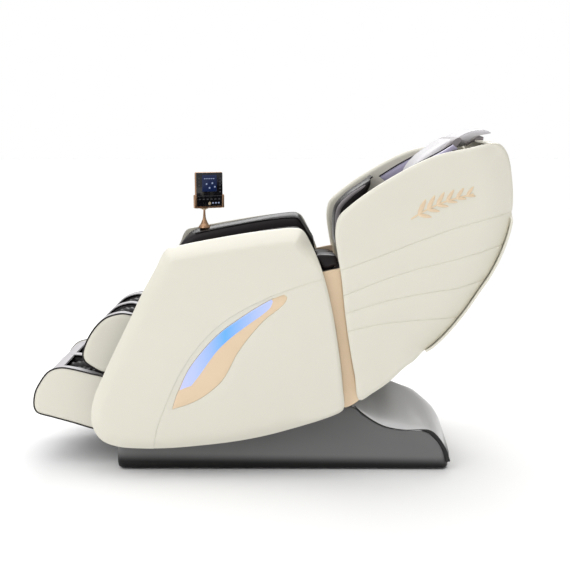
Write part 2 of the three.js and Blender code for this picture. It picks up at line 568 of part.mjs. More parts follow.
function buildFoot() {
  const outline = smooth(FOOT_OUTLINE, 30);
  const tray = [[-552, 240], [-552, 148], [-604, 142], [-669, 162], [-744, 183], [-784, 196], [-790, 222],
    [-784, 256],
    [-768, 290], [-778, 294], [-797, 257], [-803, 222], [-801, 200], [-790, 187], [-744, 172], [-669, 151],
    [-604, 131], [-560, 122], [-541, 132], [-541, 240]];
  SIDES.forEach(([name, side]) => {
    add(`foot_panel_${name}`, rimmed(outline, side, LEG_HALF - PANEL_SKIN, LEG_HALF, 0.97), CREAM);
    add(`foot_wall_${name}`, sidePrism(footWell(), side, LEG_HALF - PANEL_SKIN - GAP - WALL_THICKNESS,
      LEG_HALF - PANEL_SKIN - GAP), BLACK_LEATHER);
  });
  add('foot_divider', prism(footWell(), -DIVIDER_HALF, DIVIDER_HALF), BLACK_LEATHER);
  const [ex, ez] = EXTEND_DIRECTION;
  const rods = SIDES.flatMap(([, side]) => [
    bar([-548, side * ROD_Y, 180], [-548 - ex * ROD_LENGTH, side * ROD_Y, 180 - ez * ROD_LENGTH], 8, 12),
    ...[60, 150].map((y) => sideBox(side, -695, -685, y - 4, y + 4, 160, 206)),
    sideBarY(side, ...SOLE_AXLE, 3.4, 58, 152, 12),
  ]);
  add('foot_tray', join(prism(tray, -225, 225), ...rods), PLASTIC);
  const roller = [[4.2, -14], [18, -14], [22, -4], [22, 4], [18, 14], [4.2, 14], [4.2, -14]]
    .map(([r, h]) => new THREE.Vector2(r, h));
  SIDES.forEach(([name, side]) => {
    add(`sole_roller_${name}`, new THREE.LatheGeometry(roller, 18)
      .translate(SOLE_AXLE[0], side * 105, SOLE_AXLE[1]), PLASTIC);
  });
}

function footWell() {
  return smooth([[-566, 306], [-604, 318], [-663, 333], [-701, 338], [-730, 334], [-752, 320], [-764, 296],
    [-776, 262], [-782, 226], [-772, 202], [-740, 190], [-669, 170], [-604, 150], [-562, 156],
    [-556, 220]], 32);
}

// ---- Tablet control on the right armrest ----

function buildTablet() {
  const group = new THREE.Group();
  group.position.set(TABLET_AT[0], TABLET_AT[1], 0);
  group.rotation.z = TABLET_TURN;
  chair.add(group);
  const profile = [[0, 776.5], [20, 776.5], [20, 783], [13, 796], [7, 806], [5, 816], [5, 848], [0, 848]]
    .map(([r, z]) => new THREE.Vector2(r, z));
  add('tablet_stand', new THREE.LatheGeometry(profile, 16).rotateX(Math.PI / 2), GOLD, group);
  const barX = (radius, x0, x1) =>
    new THREE.CylinderGeometry(radius, radius, x1 - x0, 14).rotateZ(Math.PI / 2)
      .translate((x0 + x1) / 2, 10, 876);
  const knuckle = new THREE.CylinderGeometry(8, 8, 8, 16).rotateX(Math.PI / 2).translate(0, 0, 853);
  const ears = [[-13, -7], [7, 13]].flatMap(([x0, x1]) => [barX(9, x0, x1), box(x0, x1, 3, 16, 853, 876)]);
  add('tablet_holder', join(knuckle, box(-13, 13, -5, 16, 852, 858), ...ears, barX(3, -12, 12)), GOLD, group);
  const lug = [box(-6, 6, -6, 10, 868, 884), barX(8, -6, 6)];
  const slab = softBox(-39, 71, -16, -4, 862, 994, 4);
  const recess = new THREE.CylinderGeometry(6.5, 6.5, 10, 16).translate(16, -17, 874);
  add('tablet', cut(join(slab, ...lug), barX(3.5, -8, 8), recess), SCREEN, group);
  const button = new THREE.CylinderGeometry(5.8, 5.8, 3, 16).translate(16, -15.8, 874);
  add('tablet_button', button, GOLD, group);
}

buildBase();
buildSeatFrame();
buildSeat();
buildBack();
buildCarriage();
buildCalf();
buildFoot();
buildTablet();

export default chair;
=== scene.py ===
import json
import math
import bmesh
import bpy
import numpy as np
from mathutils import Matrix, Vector
from mathutils.bvhtree import BVHTree
from mathutils.geometry import delaunay_2d_cdt


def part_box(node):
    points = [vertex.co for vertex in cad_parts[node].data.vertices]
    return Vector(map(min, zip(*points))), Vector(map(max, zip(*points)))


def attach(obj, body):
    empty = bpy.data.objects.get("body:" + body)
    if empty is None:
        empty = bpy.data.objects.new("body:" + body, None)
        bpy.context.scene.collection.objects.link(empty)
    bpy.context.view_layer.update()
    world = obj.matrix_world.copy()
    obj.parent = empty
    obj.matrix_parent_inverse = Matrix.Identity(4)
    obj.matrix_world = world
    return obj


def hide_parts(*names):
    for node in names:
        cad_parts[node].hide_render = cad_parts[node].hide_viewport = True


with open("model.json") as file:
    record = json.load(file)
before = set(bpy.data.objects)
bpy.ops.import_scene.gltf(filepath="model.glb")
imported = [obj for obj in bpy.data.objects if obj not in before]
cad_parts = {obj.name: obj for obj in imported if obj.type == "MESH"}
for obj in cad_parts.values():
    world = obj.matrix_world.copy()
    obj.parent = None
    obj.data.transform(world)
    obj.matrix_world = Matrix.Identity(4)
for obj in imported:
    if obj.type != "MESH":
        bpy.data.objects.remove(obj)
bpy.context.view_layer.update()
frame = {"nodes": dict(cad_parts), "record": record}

# A reclining massage chair. Shapes are written in millimetres in the frame's own axes:
# +Z up, the sitter faces -X, and the left side is at -Y. Pieces are made for the left
# side and mirrored for the right.

MM = 0.001
NODES = frame["nodes"]


def node_box(name):
    """Lowest and highest corner of a CAD node, in millimetres."""
    low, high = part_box(name)
    return np.array(low) / MM, np.array(high) / MM


# ---- Driving sizes, from the frame ----

HALF_WIDTH = node_box("back_wing_right")[1][1]
ARM_FACE = 395.0
ARM_SIDE_RIM = 376.0
ARM_TOP_RIM = 334.0
ARM_TOP_SLOPE = 0.26
ARM_THICKNESS = 18.0
WING_THICKNESS = HALF_WIDTH - node_box("back_wing_right")[0][1]
LEG_FACE = node_box("calf_panel_right")[1][1]
LEG_SKIN = LEG_FACE - node_box("calf_panel_right")[0][1]
BACK_FOOT = (118.0, 452.0)
BACK_ANGLE = math.radians(37.8)

# ---- Side outlines, (x, z) ----

ARM_OUTLINE = (
    (-324, 766), (-287, 777), (-85, 815), (24, 830), (100, 836), (124, 829), (154, 780), (186, 705),
    (218, 585), (245, 425), (258, 309), (262, 245), (254, 232), (138, 186), (24, 151), (-91, 127),
    (-207, 112), (-322, 102), (-409, 101), (-495, 108), (-547, 130), (-573, 170), (-579, 215),
    (-568, 275), (-526, 371), (-440, 546), (-398, 632), (-354, 710),
)
ARM_CREASE = (
    (-372, 90), (-369, 112), (-359, 168), (-329, 250), (-299, 321), (-258, 396), (-201, 471), (-133, 534),
    (-59, 580), (25, 620), (70, 637), (136, 660), (187, 674), (210, 679),
)
LEAF_LOW = (
    (-307, 241), (-258, 256), (-214, 277), (-175, 305), (-139, 341), (-116, 380), (-95, 422), (-71, 458),
    (-36, 503), (2, 544), (37, 571), (66, 598), (73, 616), (64, 625),
)
LEAF_HIGH = (
    (64, 625), (29, 612), (-6, 594), (-50, 567), (-94, 537), (-138, 505), (-182, 463), (-227, 409),
    (-257, 364), (-284, 306),
)
LIGHT_LOW = (
    (-242, 320), (-212, 359), (-183, 401), (-153, 440), (-109, 482), (-50, 527), (-6, 559), (20, 583),
    (27, 602),
)
LIGHT_HIGH = ((23, 609), *[(x, z - 1) for x, z in LEAF_HIGH[2:-1]], (-282, 306))
WING_OUTLINE = (
    (312, 273), (297, 353), (283, 426), (263, 561), (250, 679), (237, 755), (229, 825), (239, 875),
    (275, 912), (375, 984), (539, 1070), (659, 1098), (716, 1110), (748, 1104), (772, 1083), (786, 1048),
    (797, 985), (800, 915), (790, 850), (767, 775), (731, 697), (693, 637), (646, 566), (593, 500),
    (548, 456), (520, 432), (498, 409), (460, 383), (410, 336), (356, 297),
)
WING_SEAMS = (
    ((240, 703), (259, 709), (370, 750), (493, 798), (621, 844), (787, 890), (800, 893)),
    ((240, 615), (256, 621), (371, 668), (494, 709), (630, 744), (766, 785), (790, 792)),
    ((245, 556), (263, 562), (372, 598), (496, 626), (633, 649), (720, 673), (745, 680)),
    ((250, 498), (270, 503), (373, 527), (498, 541), (624, 547), (650, 547)),
)
REAR_CURVE = (
    (715, 1117), (760, 1111), (783, 1083), (795, 1045), (803, 985), (805, 915), (799, 846), (777, 769),
    (740, 689), (702, 630), (655, 559), (602, 493), (553, 445), (531, 431),
)
CALF_OUTLINE = (
    (-440, 526), (-462, 530), (-490, 534), (-524, 528), (-550, 517), (-577, 494), (-600, 464),
    (-620, 426), (-630, 388), (-624, 368), (-603, 350), (-560, 328), (-531, 330), (-500, 360),
    (-464, 410), (-440, 456),
)
FOOT_OUTLINE = (
    (-560, 311), (-604, 323), (-663, 338), (-701, 344), (-730, 340), (-754, 327), (-781, 292),
    (-799, 257), (-805, 222), (-803, 199), (-793, 185), (-744, 170), (-669, 149), (-604, 129),
    (-560, 120), (-542, 132), (-538, 180), (-540, 290),
)
POST_OUTLINE = (
    ((186, 693), (210, 600), (236, 470), (252, 350), (261, 238)),
    ((261, 238), (268, 236), (300, 250), (316, 264)),
    ((316, 264), (290, 400), (268, 545), (251, 706)),
    ((251, 706), (220, 701), (186, 693)),
)
BOLSTER_FRONT = (
    (290, 640), (268, 700), (253, 735), (248, 800), (258, 866), (300, 914), (350, 950), (398, 982),
)
LEG_CREST = (
    (-448, 520), (-490, 532), (-524, 527), (-550, 516), (-577, 493), (-600, 463), (-619, 426), (-628, 392),
)
TOE_CREST = (
    (-570, 308), (-604, 319), (-663, 334), (-701, 339), (-730, 335), (-752, 321), (-776, 290), (-794, 256),
    (-800, 222),
)

# ---- Scene objects ----


def added(name, data):
    """New object in the scene."""
    thing = bpy.data.objects.new(name, data)
    bpy.context.scene.collection.objects.link(thing)
    return thing


# ---- Curves ----


def distances(path):
    """Distance along a line at each of its points."""
    return np.concatenate([[0], np.cumsum(np.linalg.norm(np.diff(path, axis=0), axis=1))])


def directions(path, loop=False):
    """Unit vectors along a line."""
    along = np.roll(path, -1, 0) - np.roll(path, 1, 0) if loop else np.gradient(path, axis=0)
    return along / np.linalg.norm(along, axis=1, keepdims=True)


def sideways(line, axis):
    """Unit normals of an (x, z) line, on its side towards +X where axis is 0 or +Z where it is 1."""
    along = directions(line)
    normal = np.stack([-along[:, 1], along[:, 0]], 1)
    return normal if normal[len(line) // 2][axis] > 0 else -normal


def spline(points, count, closed=False):
    """Evenly spaced points on a centripetal Catmull-Rom curve through points of any dimension."""
    p = np.array(points, float)
    if closed:
        p = np.concatenate([p[-1:], p, p[:2]])
    else:
        p = np.concatenate([[2 * p[0] - p[1]], p, [2 * p[-1] - p[-2]]])
    fine = []
    for p0, p1, p2, p3 in zip(p, p[1:], p[2:], p[3:]):
        t1, t2, t3 = np.cumsum([np.linalg.norm(b - a) ** 0.5 for a, b in ((p0, p1), (p1, p2), (p2, p3))])
        for t in np.linspace(t1, t2, 24, endpoint=False):
            a1 = (t1 - t) / t1 * p0 + t / t1 * p1
            a2 = (t2 - t) / (t2 - t1) * p1 + (t - t1) / (t2 - t1) * p2
            a3 = (t3 - t) / (t3 - t2) * p2 + (t - t2) / (t3 - t2) * p3
            b1 = (t2 - t) / t2 * a1 + t / t2 * a2
            b2 = (t3 - t) / (t3 - t1) * a2 + (t - t1) / (t3 - t1) * a3
            fine.append((t2 - t) / (t2 - t1) * b1 + (t - t1) / (t2 - t1) * b2)
    fine = np.array(fine + [p[1] if closed else p[-2]])
    along = distances(fine)
    wanted = np.linspace(0, along[-1], count, endpoint=not closed)
    return np.stack([np.interp(wanted, along, fine[:, k]) for k in range(fine.shape[1])], 1)


def corners(*stretches, step=6):
    """Closed outline of smooth stretches that meet at corners."""
    out = []
    for points in stretches:
        length = sum(math.dist(a, b) for a, b in zip(points, points[1:]))
        out.append(spline(points, max(3, int(length / step)))[:-1])
    return np.concatenate(out)


def step_between(low, high, value):
    t = np.clip((value - low) / (high - low), 0, 1)
    return t * t * (3 - 2 * t)


def mix(a, b, t):
    return a + (b - a) * t


def around(count):
    """Evenly spaced angles round a full turn."""
    return np.linspace(0, 2 * math.pi, count, endpoint=False)


def bent(value, power):
    """Power of a number from -1 to 1 that keeps its sign. It squares off a circle's sine and cosine."""
    return math.copysign(abs(value) ** power, value)


def eased(distance, radius):
    """Height, 0 to 1, of a rounded edge at a distance in from it."""
    return np.sin(np.clip(distance / radius, 0, 1) * math.pi / 2)


def nearest(points, line, closed=False):
    """Distance to a polyline, and the side of it: +1 left of its direction."""
    a = np.asarray(line, float)
    b = np.roll(a, -1, 0)
    if not closed:
        a, b = a[:-1], a[1:]
    ab = b - a
    ap = points[:, None] - a[None]
    t = np.clip((ap * ab).sum(2) / (ab ** 2).sum(1), 0, 1)
    gap = ap - t[..., None] * ab
    distance = np.hypot(gap[..., 0], gap[..., 1])
    k = distance.argmin(1)
    row = np.arange(len(points))
    turn = ab[k, 0] * ap[row, k, 1] - ab[k, 1] * ap[row, k, 0]
    return distance[row, k], np.where(turn >= 0, 1, -1)


def inside(points, outline):
    a = outline
    b = np.roll(a, -1, 0)
    x, z = points[:, :1], points[:, 1:2]
    crossed = (a[:, 1] > z) != (b[:, 1] > z)
    at = (b[:, 0] - a[:, 0]) * (z - a[:, 1]) / np.where(b[:, 1] == a[:, 1], 1, b[:, 1] - a[:, 1]) + a[:, 0]
    return (crossed & (x < at)).sum(1) % 2 == 1


def inward(outline):
    """Unit normals that point into a closed outline."""
    along = directions(outline, loop=True)
    normal = np.stack([-along[:, 1], along[:, 0]], 1)
    if not inside(outline + normal * 0.5, outline).mean() > 0.5:
        normal = -normal
    return normal


# ---- Solids: each is (vertices in millimetres, faces) ----


def loft(rings, caps=True):
    """Quads through closed rings of equal length, with a fan at each end."""
    rings = np.asarray(rings, float)
    count = rings.shape[1]
    verts = rings.reshape(-1, 3)
    faces = []
    for r in range(len(rings) - 1):
        for i in range(count):
            a, b = r * count + i, r * count + (i + 1) % count
            faces.append((a, b, b + count, a + count))
    if caps:
        for r, flip in ((0, True), (len(rings) - 1, False)):
            hub = len(verts)
            verts = np.concatenate([verts, rings[r].mean(0)[None]])
            for i in range(count):
                a, b = r * count + i, r * count + (i + 1) % count
                faces.append((b, a, hub) if flip else (a, b, hub))
    return outward((verts, faces))


def outward(geometry):
    """The same closed solid with its faces pointing out."""
    verts, faces = geometry
    volume = 0.0
    for f in faces:
        for i in range(1, len(f) - 1):
            volume += np.dot(verts[f[0]], np.cross(verts[f[i]], verts[f[i + 1]]))
    return (verts, faces) if volume > 0 else (verts, [tuple(reversed(f)) for f in faces])


def consistent(geometry):
    """The same closed solid with every face turned the same way, out."""
    verts, faces = geometry
    mesh = bmesh.new()
    made = [mesh.verts.new(v) for v in verts]
    for f in faces:
        mesh.faces.new([made[i] for i in f])
    bmesh.ops.recalc_face_normals(mesh, faces=mesh.faces)
    mesh.verts.index_update()
    faces = [tuple(v.index for v in f.verts) for f in mesh.faces]
    mesh.free()
    return outward((verts, faces))


def tube(path, radius, sides=8, loop=False, flat=1.0):
    """Round bead along a 3-D path. radius is one number or one for each point."""
    path = np.asarray(path, float)
    count = len(path)
    radius = np.broadcast_to(radius, count)
    along = directions(path, loop)
    across = np.cross(along[0], (0.31, 0.9, 0.29))
    turn = around(sides)[:, None]
    rings = []
    for i in range(count):
        across = across - along[i] * np.dot(across, along[i])
        across /= np.linalg.norm(across)
        other = np.cross(along[i], across)
        rings.append(path[i] + radius[i] * (np.cos(turn) * across + flat * np.sin(turn) * other))
    if not loop:
        return loft(rings)
    verts = np.concatenate(rings)
    # The frame may come back turned after a loop, so the last ring joins the first where it is nearest.
    shift = int(np.linalg.norm(rings[0] - rings[-1][0], axis=1).argmin())
    faces = []
    for r in range(count):
        for i in range(sides):
            a, b = r * sides + i, r * sides + (i + 1) % sides
            if r + 1 < count:
                faces.append((a, b, b + sides, a + sides))
            else:
                faces.append((a, b, (i + 1 + shift) % sides, (i + shift) % sides))
    return outward((verts, faces))


def block(low, high, radius=3.0, segments=3):
    """Box with rounded edges."""
    mesh = bmesh.new()
    bmesh.ops.create_cube(mesh, size=1)
    low, high = np.array(low, float), np.array(high, float)
    for v in mesh.verts:
        v.co = Vector((low + high) / 2 + np.array(v.co) * (high - low))
    bmesh.ops.bevel(mesh, geom=list(mesh.edges), offset=radius, segments=segments, profile=0.5,
                    affect="EDGES")
    verts = np.array([v.co for v in mesh.verts])
    faces = [tuple(v.index for v in f.verts) for f in mesh.faces]
    mesh.free()
    return verts, faces


def stitches(path, pitch, radius=0.9):
    """Row of short thread stitches along a 3-D path."""
    path = np.asarray(path, float)
    along = distances(path)
    at = lambda s: np.stack([np.interp(s, along, path[:, k]) for k in range(3)], 1)
    stretch, thickness = pitch * np.array((0.08, 0.36, 0.64)), np.array((0.6, 1, 0.6)) * radius
    starts = np.arange(0, along[-1] - pitch, pitch)
    return joined(*[tube(at(start + stretch), thickness, 6) for start in starts])


def turned(profile, sides=32):
    """Solid of revolution about Z from (radius, z) points that start and end on the axis."""
    profile = [p for p in profile if p[0] > 0]
    return loft([[(r * math.cos(a), r * math.sin(a), z) for a in around(sides)] for r, z in profile])


def moved(geometry, shift=(0, 0, 0), turn_z=0.0):
    verts, faces = geometry
    c, s = math.cos(turn_z), math.sin(turn_z)
    return verts @ np.array([[c, s, 0], [-s, c, 0], [0, 0, 1]]) + np.array(shift, float), faces


def mirrored(geometry):
    verts, faces = geometry
    return verts * (1, -1, 1), [tuple(reversed(f)) for f in faces]


def joined(*solids):
    verts, faces, start = [], [], 0
    for v, f in solids:
        verts.append(v)
        faces += [tuple(i + start for i in face) for face in f]
        start += len(v)
    return np.concatenate(verts), faces


def level(y):
    """Plain inner side for a plate."""
    return lambda points, edge: np.full(len(points), y)


def plate(outline, face, back, spacing=12.0, lines=(), rims=(1.5, 4, 8, 13, 20, 30, 42)):
    """Closed plate over an XZ outline. face and back give |y| from points and their distance to the edge.
    The mesh has an edge along each of the lines and is finer beside them. Its outer face looks to -Y."""
    normal = inward(outline)
    clouds = [outline]
    for r in rims:
        ring = outline + normal * r
        keep = inside(ring, outline) & (nearest(ring, outline, True)[0] > 0.93 * r)
        clouds.append(ring[keep])
    for line in lines:
        along = directions(line)
        aside = np.stack([-along[:, 1], along[:, 0]], 1)
        for offset in (-10, -5, -2, 2, 5, 10):
            row = line + aside * offset
            edge = nearest(row, outline, True)[0]
            clouds.append(row[inside(row, outline) & (edge > 1)])
    low, high = outline.min(0), outline.max(0)
    rows = np.arange(low[1], high[1], spacing * 0.87)
    grid = np.array([(x + (i % 2) * spacing / 2, z) for i, z in enumerate(rows)
                     for x in np.arange(low[0], high[0], spacing)])
    grid = grid[inside(grid, outline)]
    grid = grid[nearest(grid, outline, True)[0] > rims[-1] + spacing * 0.4]
    for line in lines:
        grid = grid[nearest(grid, line)[0] > 8 + spacing * 0.4]
    clouds.append(grid)
    points = np.concatenate(clouds)
    start = len(points)
    edges = []
    for line in lines:
        keep = nearest(line, outline, True)[0] > 0.4
        edges += [(start + i, start + i + 1) for i in range(len(line) - 1) if keep[i] or keep[i + 1]]
        points = np.concatenate([points, line])
        start = len(points)
    found = delaunay_2d_cdt([Vector(p) for p in points], edges, [list(range(len(outline)))], 1, 1e-3)
    flat = np.array([tuple(v) for v in found[0]])
    triangles = [tuple(f) for f in found[2]]
    used = sorted({i for f in triangles for i in f})
    index = {old: new for new, old in enumerate(used)}
    flat = flat[used]
    triangles = [tuple(index[i] for i in f) for f in triangles]
    edge = nearest(flat, outline, True)[0]
    count = len(flat)
    x, z = flat.T
    verts = np.concatenate([np.stack([x, -side(flat, edge), z], 1) for side in (face, back)])
    one_way = {(f[i], f[(i + 1) % 3]) for f in triangles for i in range(3)}
    faces = list(triangles)
    faces += [tuple(i + count for i in reversed(f)) for f in triangles]
    faces += [(b, a, a + count, b + count) for a, b in one_way if (b, a) not in one_way]
    return outward((verts, faces))


# ---- Soft pieces: a CAD solid, remeshed and swollen by a cloth simulation ----


def node_solid(name, shrink=4.0):
    """Copy of a CAD node, made smaller on every side by shrink."""
    mesh = NODES[name].data
    verts = np.array([v.co for v in mesh.vertices]) / MM
    low, high = verts.min(0), verts.max(0)
    middle, size = (low + high) / 2, high - low
    verts = middle + (verts - middle) * np.maximum(size - 2 * shrink, size * 0.5) / size
    return verts, [tuple(f.vertices) for f in mesh.polygons]


def read_mesh(mesh):
    verts = np.zeros(len(mesh.vertices) * 3)
    mesh.vertices.foreach_get("co", verts)
    return verts.reshape(-1, 3) / MM, [tuple(f.vertices) for f in mesh.polygons]


def evaluated(thing):
    graph = bpy.context.evaluated_depsgraph_get()
    done = thing.evaluated_get(graph)
    result = read_mesh(done.to_mesh())
    done.to_mesh_clear()
    return result


def scratch(geometry):
    mesh = bpy.data.meshes.new("scratch")
    mesh.from_pydata([tuple(v) for v in geometry[0] * MM], [], geometry[1])
    mesh.update()
    return added("scratch", mesh)


def discard(thing):
    mesh = thing.data
    bpy.data.objects.remove(thing)
    bpy.data.meshes.remove(mesh)


def remeshed(geometry, voxel):
    thing = scratch(geometry)
    modifier = thing.modifiers.new("remesh", "REMESH")
    modifier.mode = "VOXEL"
    modifier.voxel_size = voxel * MM
    result = evaluated(thing)
    discard(thing)
    return result


def relaxed(geometry, rounds, held=None):
    """Each vertex moved halfway to the middle of its neighbours, except where held."""
    verts, faces = geometry
    sides = {tuple(sorted((f[i], f[(i + 1) % len(f)]))) for f in faces for i in range(len(f))}
    pairs = np.array(sorted(sides))
    degree = np.bincount(pairs.ravel(), minlength=len(verts))[:, None]
    for _ in range(rounds):
        total = np.zeros_like(verts)
        np.add.at(total, pairs[:, 0], verts[pairs[:, 1]])
        np.add.at(total, pairs[:, 1], verts[pairs[:, 0]])
        smooth = mix(verts, total / np.maximum(degree, 1), 0.5)
        verts = smooth if held is None else np.where(held[:, None], verts, smooth)
    return verts, faces


def puffed(geometry, cap, held=None, voxel=6.0, pressure=4.0, frames=20, rounding=4):
    """Swollen by inner pressure. Vertices where held(points) is true stay put, as at a sewn seam."""
    geometry = relaxed(remeshed(geometry, voxel), rounding)
    verts, faces = geometry
    pinned = np.zeros(len(verts), bool) if held is None else held(verts)
    thing = scratch(geometry)
    seams = thing.vertex_groups.new(name="seams")
    seams.add([int(i) for i in np.nonzero(pinned)[0]], 1.0, "REPLACE")
    cloth = thing.modifiers.new("cloth", "CLOTH")
    cloth.settings.use_pressure = True
    cloth.settings.uniform_pressure_force = pressure
    cloth.settings.effector_weights.gravity = 0
    cloth.settings.quality = 4
    cloth.settings.vertex_group_mass = "seams"
    cloth.point_cache.frame_end = frames
    for number in range(1, frames + 1):
        bpy.context.scene.frame_set(number)
    swollen = evaluated(thing)[0]
    bpy.context.scene.frame_set(1)
    discard(thing)
    move = swollen - verts
    length = np.linalg.norm(move, axis=1, keepdims=True)
    return relaxed((verts + move * np.minimum(1, cap / np.maximum(length, 1e-6)), faces), 2)


# ---- Materials ----


def look(name, color, rough, metal=0.0, coat=0.0, sheen=0.0, vary=0.06, grain=None, wear=0.0, specular=0.5,
         fade=None):
    """Procedural surface: colour and roughness vary softly, grain is (kind, scale, depth) of its relief.
    fade is (colour, axis, start, end), painted shade: that colour before start along the axis, its own after
    end."""
    material = bpy.data.materials.new(name)
    material.use_nodes = True
    tree = material.node_tree
    shader = tree.nodes["Principled BSDF"]
    shader.inputs["Metallic"].default_value = metal
    shader.inputs["Coat Weight"].default_value = coat
    shader.inputs["Coat Roughness"].default_value = 0.12
    shader.inputs["Sheen Weight"].default_value = sheen
    shader.inputs["Specular IOR Level"].default_value = specular

    def node(kind, **values):
        made = tree.nodes.new("ShaderNode" + kind)
        for key, value in values.items():
            made.inputs[key.replace("_", " ")].default_value = value
        return made

    def blend(a, b, factor):
        made = node("Mix")
        made.data_type = "RGBA"
        for name, source in (("A", a), ("B", b), ("Factor", factor)):
            if isinstance(source, tuple):
                made.inputs[name].default_value = (*source, 1)
            else:
                link(source, made.inputs[name])
        return made.outputs["Result"]

    link = tree.links.new
    place = node("TexCoord").outputs["Object"]
    cloud = node("TexNoise", Scale=7.0, Detail=4.0)
    link(place, cloud.inputs["Vector"])
    last = blend(tuple(c * (1 - vary) for c in color), tuple(min(1, c * (1 + vary)) for c in color),
                 cloud.outputs["Fac"])
    # Painted shade: the colour blends into the fade colour along an axis in object space.
    if fade:
        other, axis, start, end = fade
        reach = node("VectorMath")
        reach.operation = "DOT_PRODUCT"
        reach.inputs[1].default_value = axis
        link(place, reach.inputs[0])
        share = node("MapRange", From_Min=start * MM, From_Max=end * MM)
        share.interpolation_type = "SMOOTHSTEP"
        link(reach.outputs["Value"], share.inputs["Value"])
        last = blend(other, last, share.outputs["Result"])
    if wear:
        edge = node("ValToRGB")
        edge.color_ramp.elements[0].position = 0.52
        edge.color_ramp.elements[1].position = 0.62
        link(node("NewGeometry").outputs["Pointiness"], edge.inputs["Fac"])
        scuff = node("Math")
        scuff.operation = "MULTIPLY"
        scuff.inputs[1].default_value = wear
        link(edge.outputs["Color"], scuff.inputs[0])
        last = blend(last, tuple(min(1, c * 1.6 + 0.02) for c in color), scuff.outputs["Value"])
    link(last, shader.inputs["Base Color"])
    gloss = node("MapRange", To_Min=rough * 0.88, To_Max=rough * 1.12)
    link(cloud.outputs["Fac"], gloss.inputs["Value"])
    link(gloss.outputs["Result"], shader.inputs["Roughness"])
    if grain:
        kind, scale, depth = grain
        if kind == "leather":
            cell = node("TexVoronoi", Scale=scale)
            height = cell.outputs["Distance"]
        else:
            cell = node("TexNoise", Scale=scale, Detail=3.0)
            height = cell.outputs["Fac"]
        link(place, cell.inputs["Vector"])
        relief = node("Bump", Strength=0.4, Distance=depth * MM)
        link(height, relief.inputs["Height"])
        if kind == "leather":
            fold = node("TexNoise", Scale=22.0, Detail=2.0)
            link(place, fold.inputs["Vector"])
            soft = node("Bump", Strength=0.25, Distance=4 * depth * MM)
            link(fold.outputs["Fac"], soft.inputs["Height"])
            link(relief.outputs["Normal"], soft.inputs["Normal"])
            relief = soft
        link(relief.outputs["Normal"], shader.inputs["Normal"])
    return material


def glow(name, colors, start, end, strength, body=(0.01, 0.01, 0.012)):
    """Lit surface whose colour runs through colors from x = start to x = end over a dark body."""
    material = look(name, body, 0.3)
    tree = material.node_tree
    shader = tree.nodes["Principled BSDF"]
    place = tree.nodes.new("ShaderNodeTexCoord")
    axes = tree.nodes.new("ShaderNodeSeparateXYZ")
    along = tree.nodes.new("ShaderNodeMapRange")
    along.inputs["From Min"].default_value = start * MM
    along.inputs["From Max"].default_value = end * MM
    ramp = tree.nodes.new("ShaderNodeValToRGB")
    elements = ramp.color_ramp.elements
    while len(elements) < len(colors):
        elements.new(0.5)
    for i, color in enumerate(colors):
        elements[i].position = i / (len(colors) - 1)
        elements[i].color = (*color, 1)
    tree.links.new(place.outputs["Object"], axes.inputs["Vector"])
    tree.links.new(axes.outputs["X"], along.inputs["Value"])
    tree.links.new(along.outputs["Result"], ramp.inputs["Fac"])
    tree.links.new(ramp.outputs["Color"], shader.inputs["Emission Color"])
    shader.inputs["Emission Strength"].default_value = strength
    return material


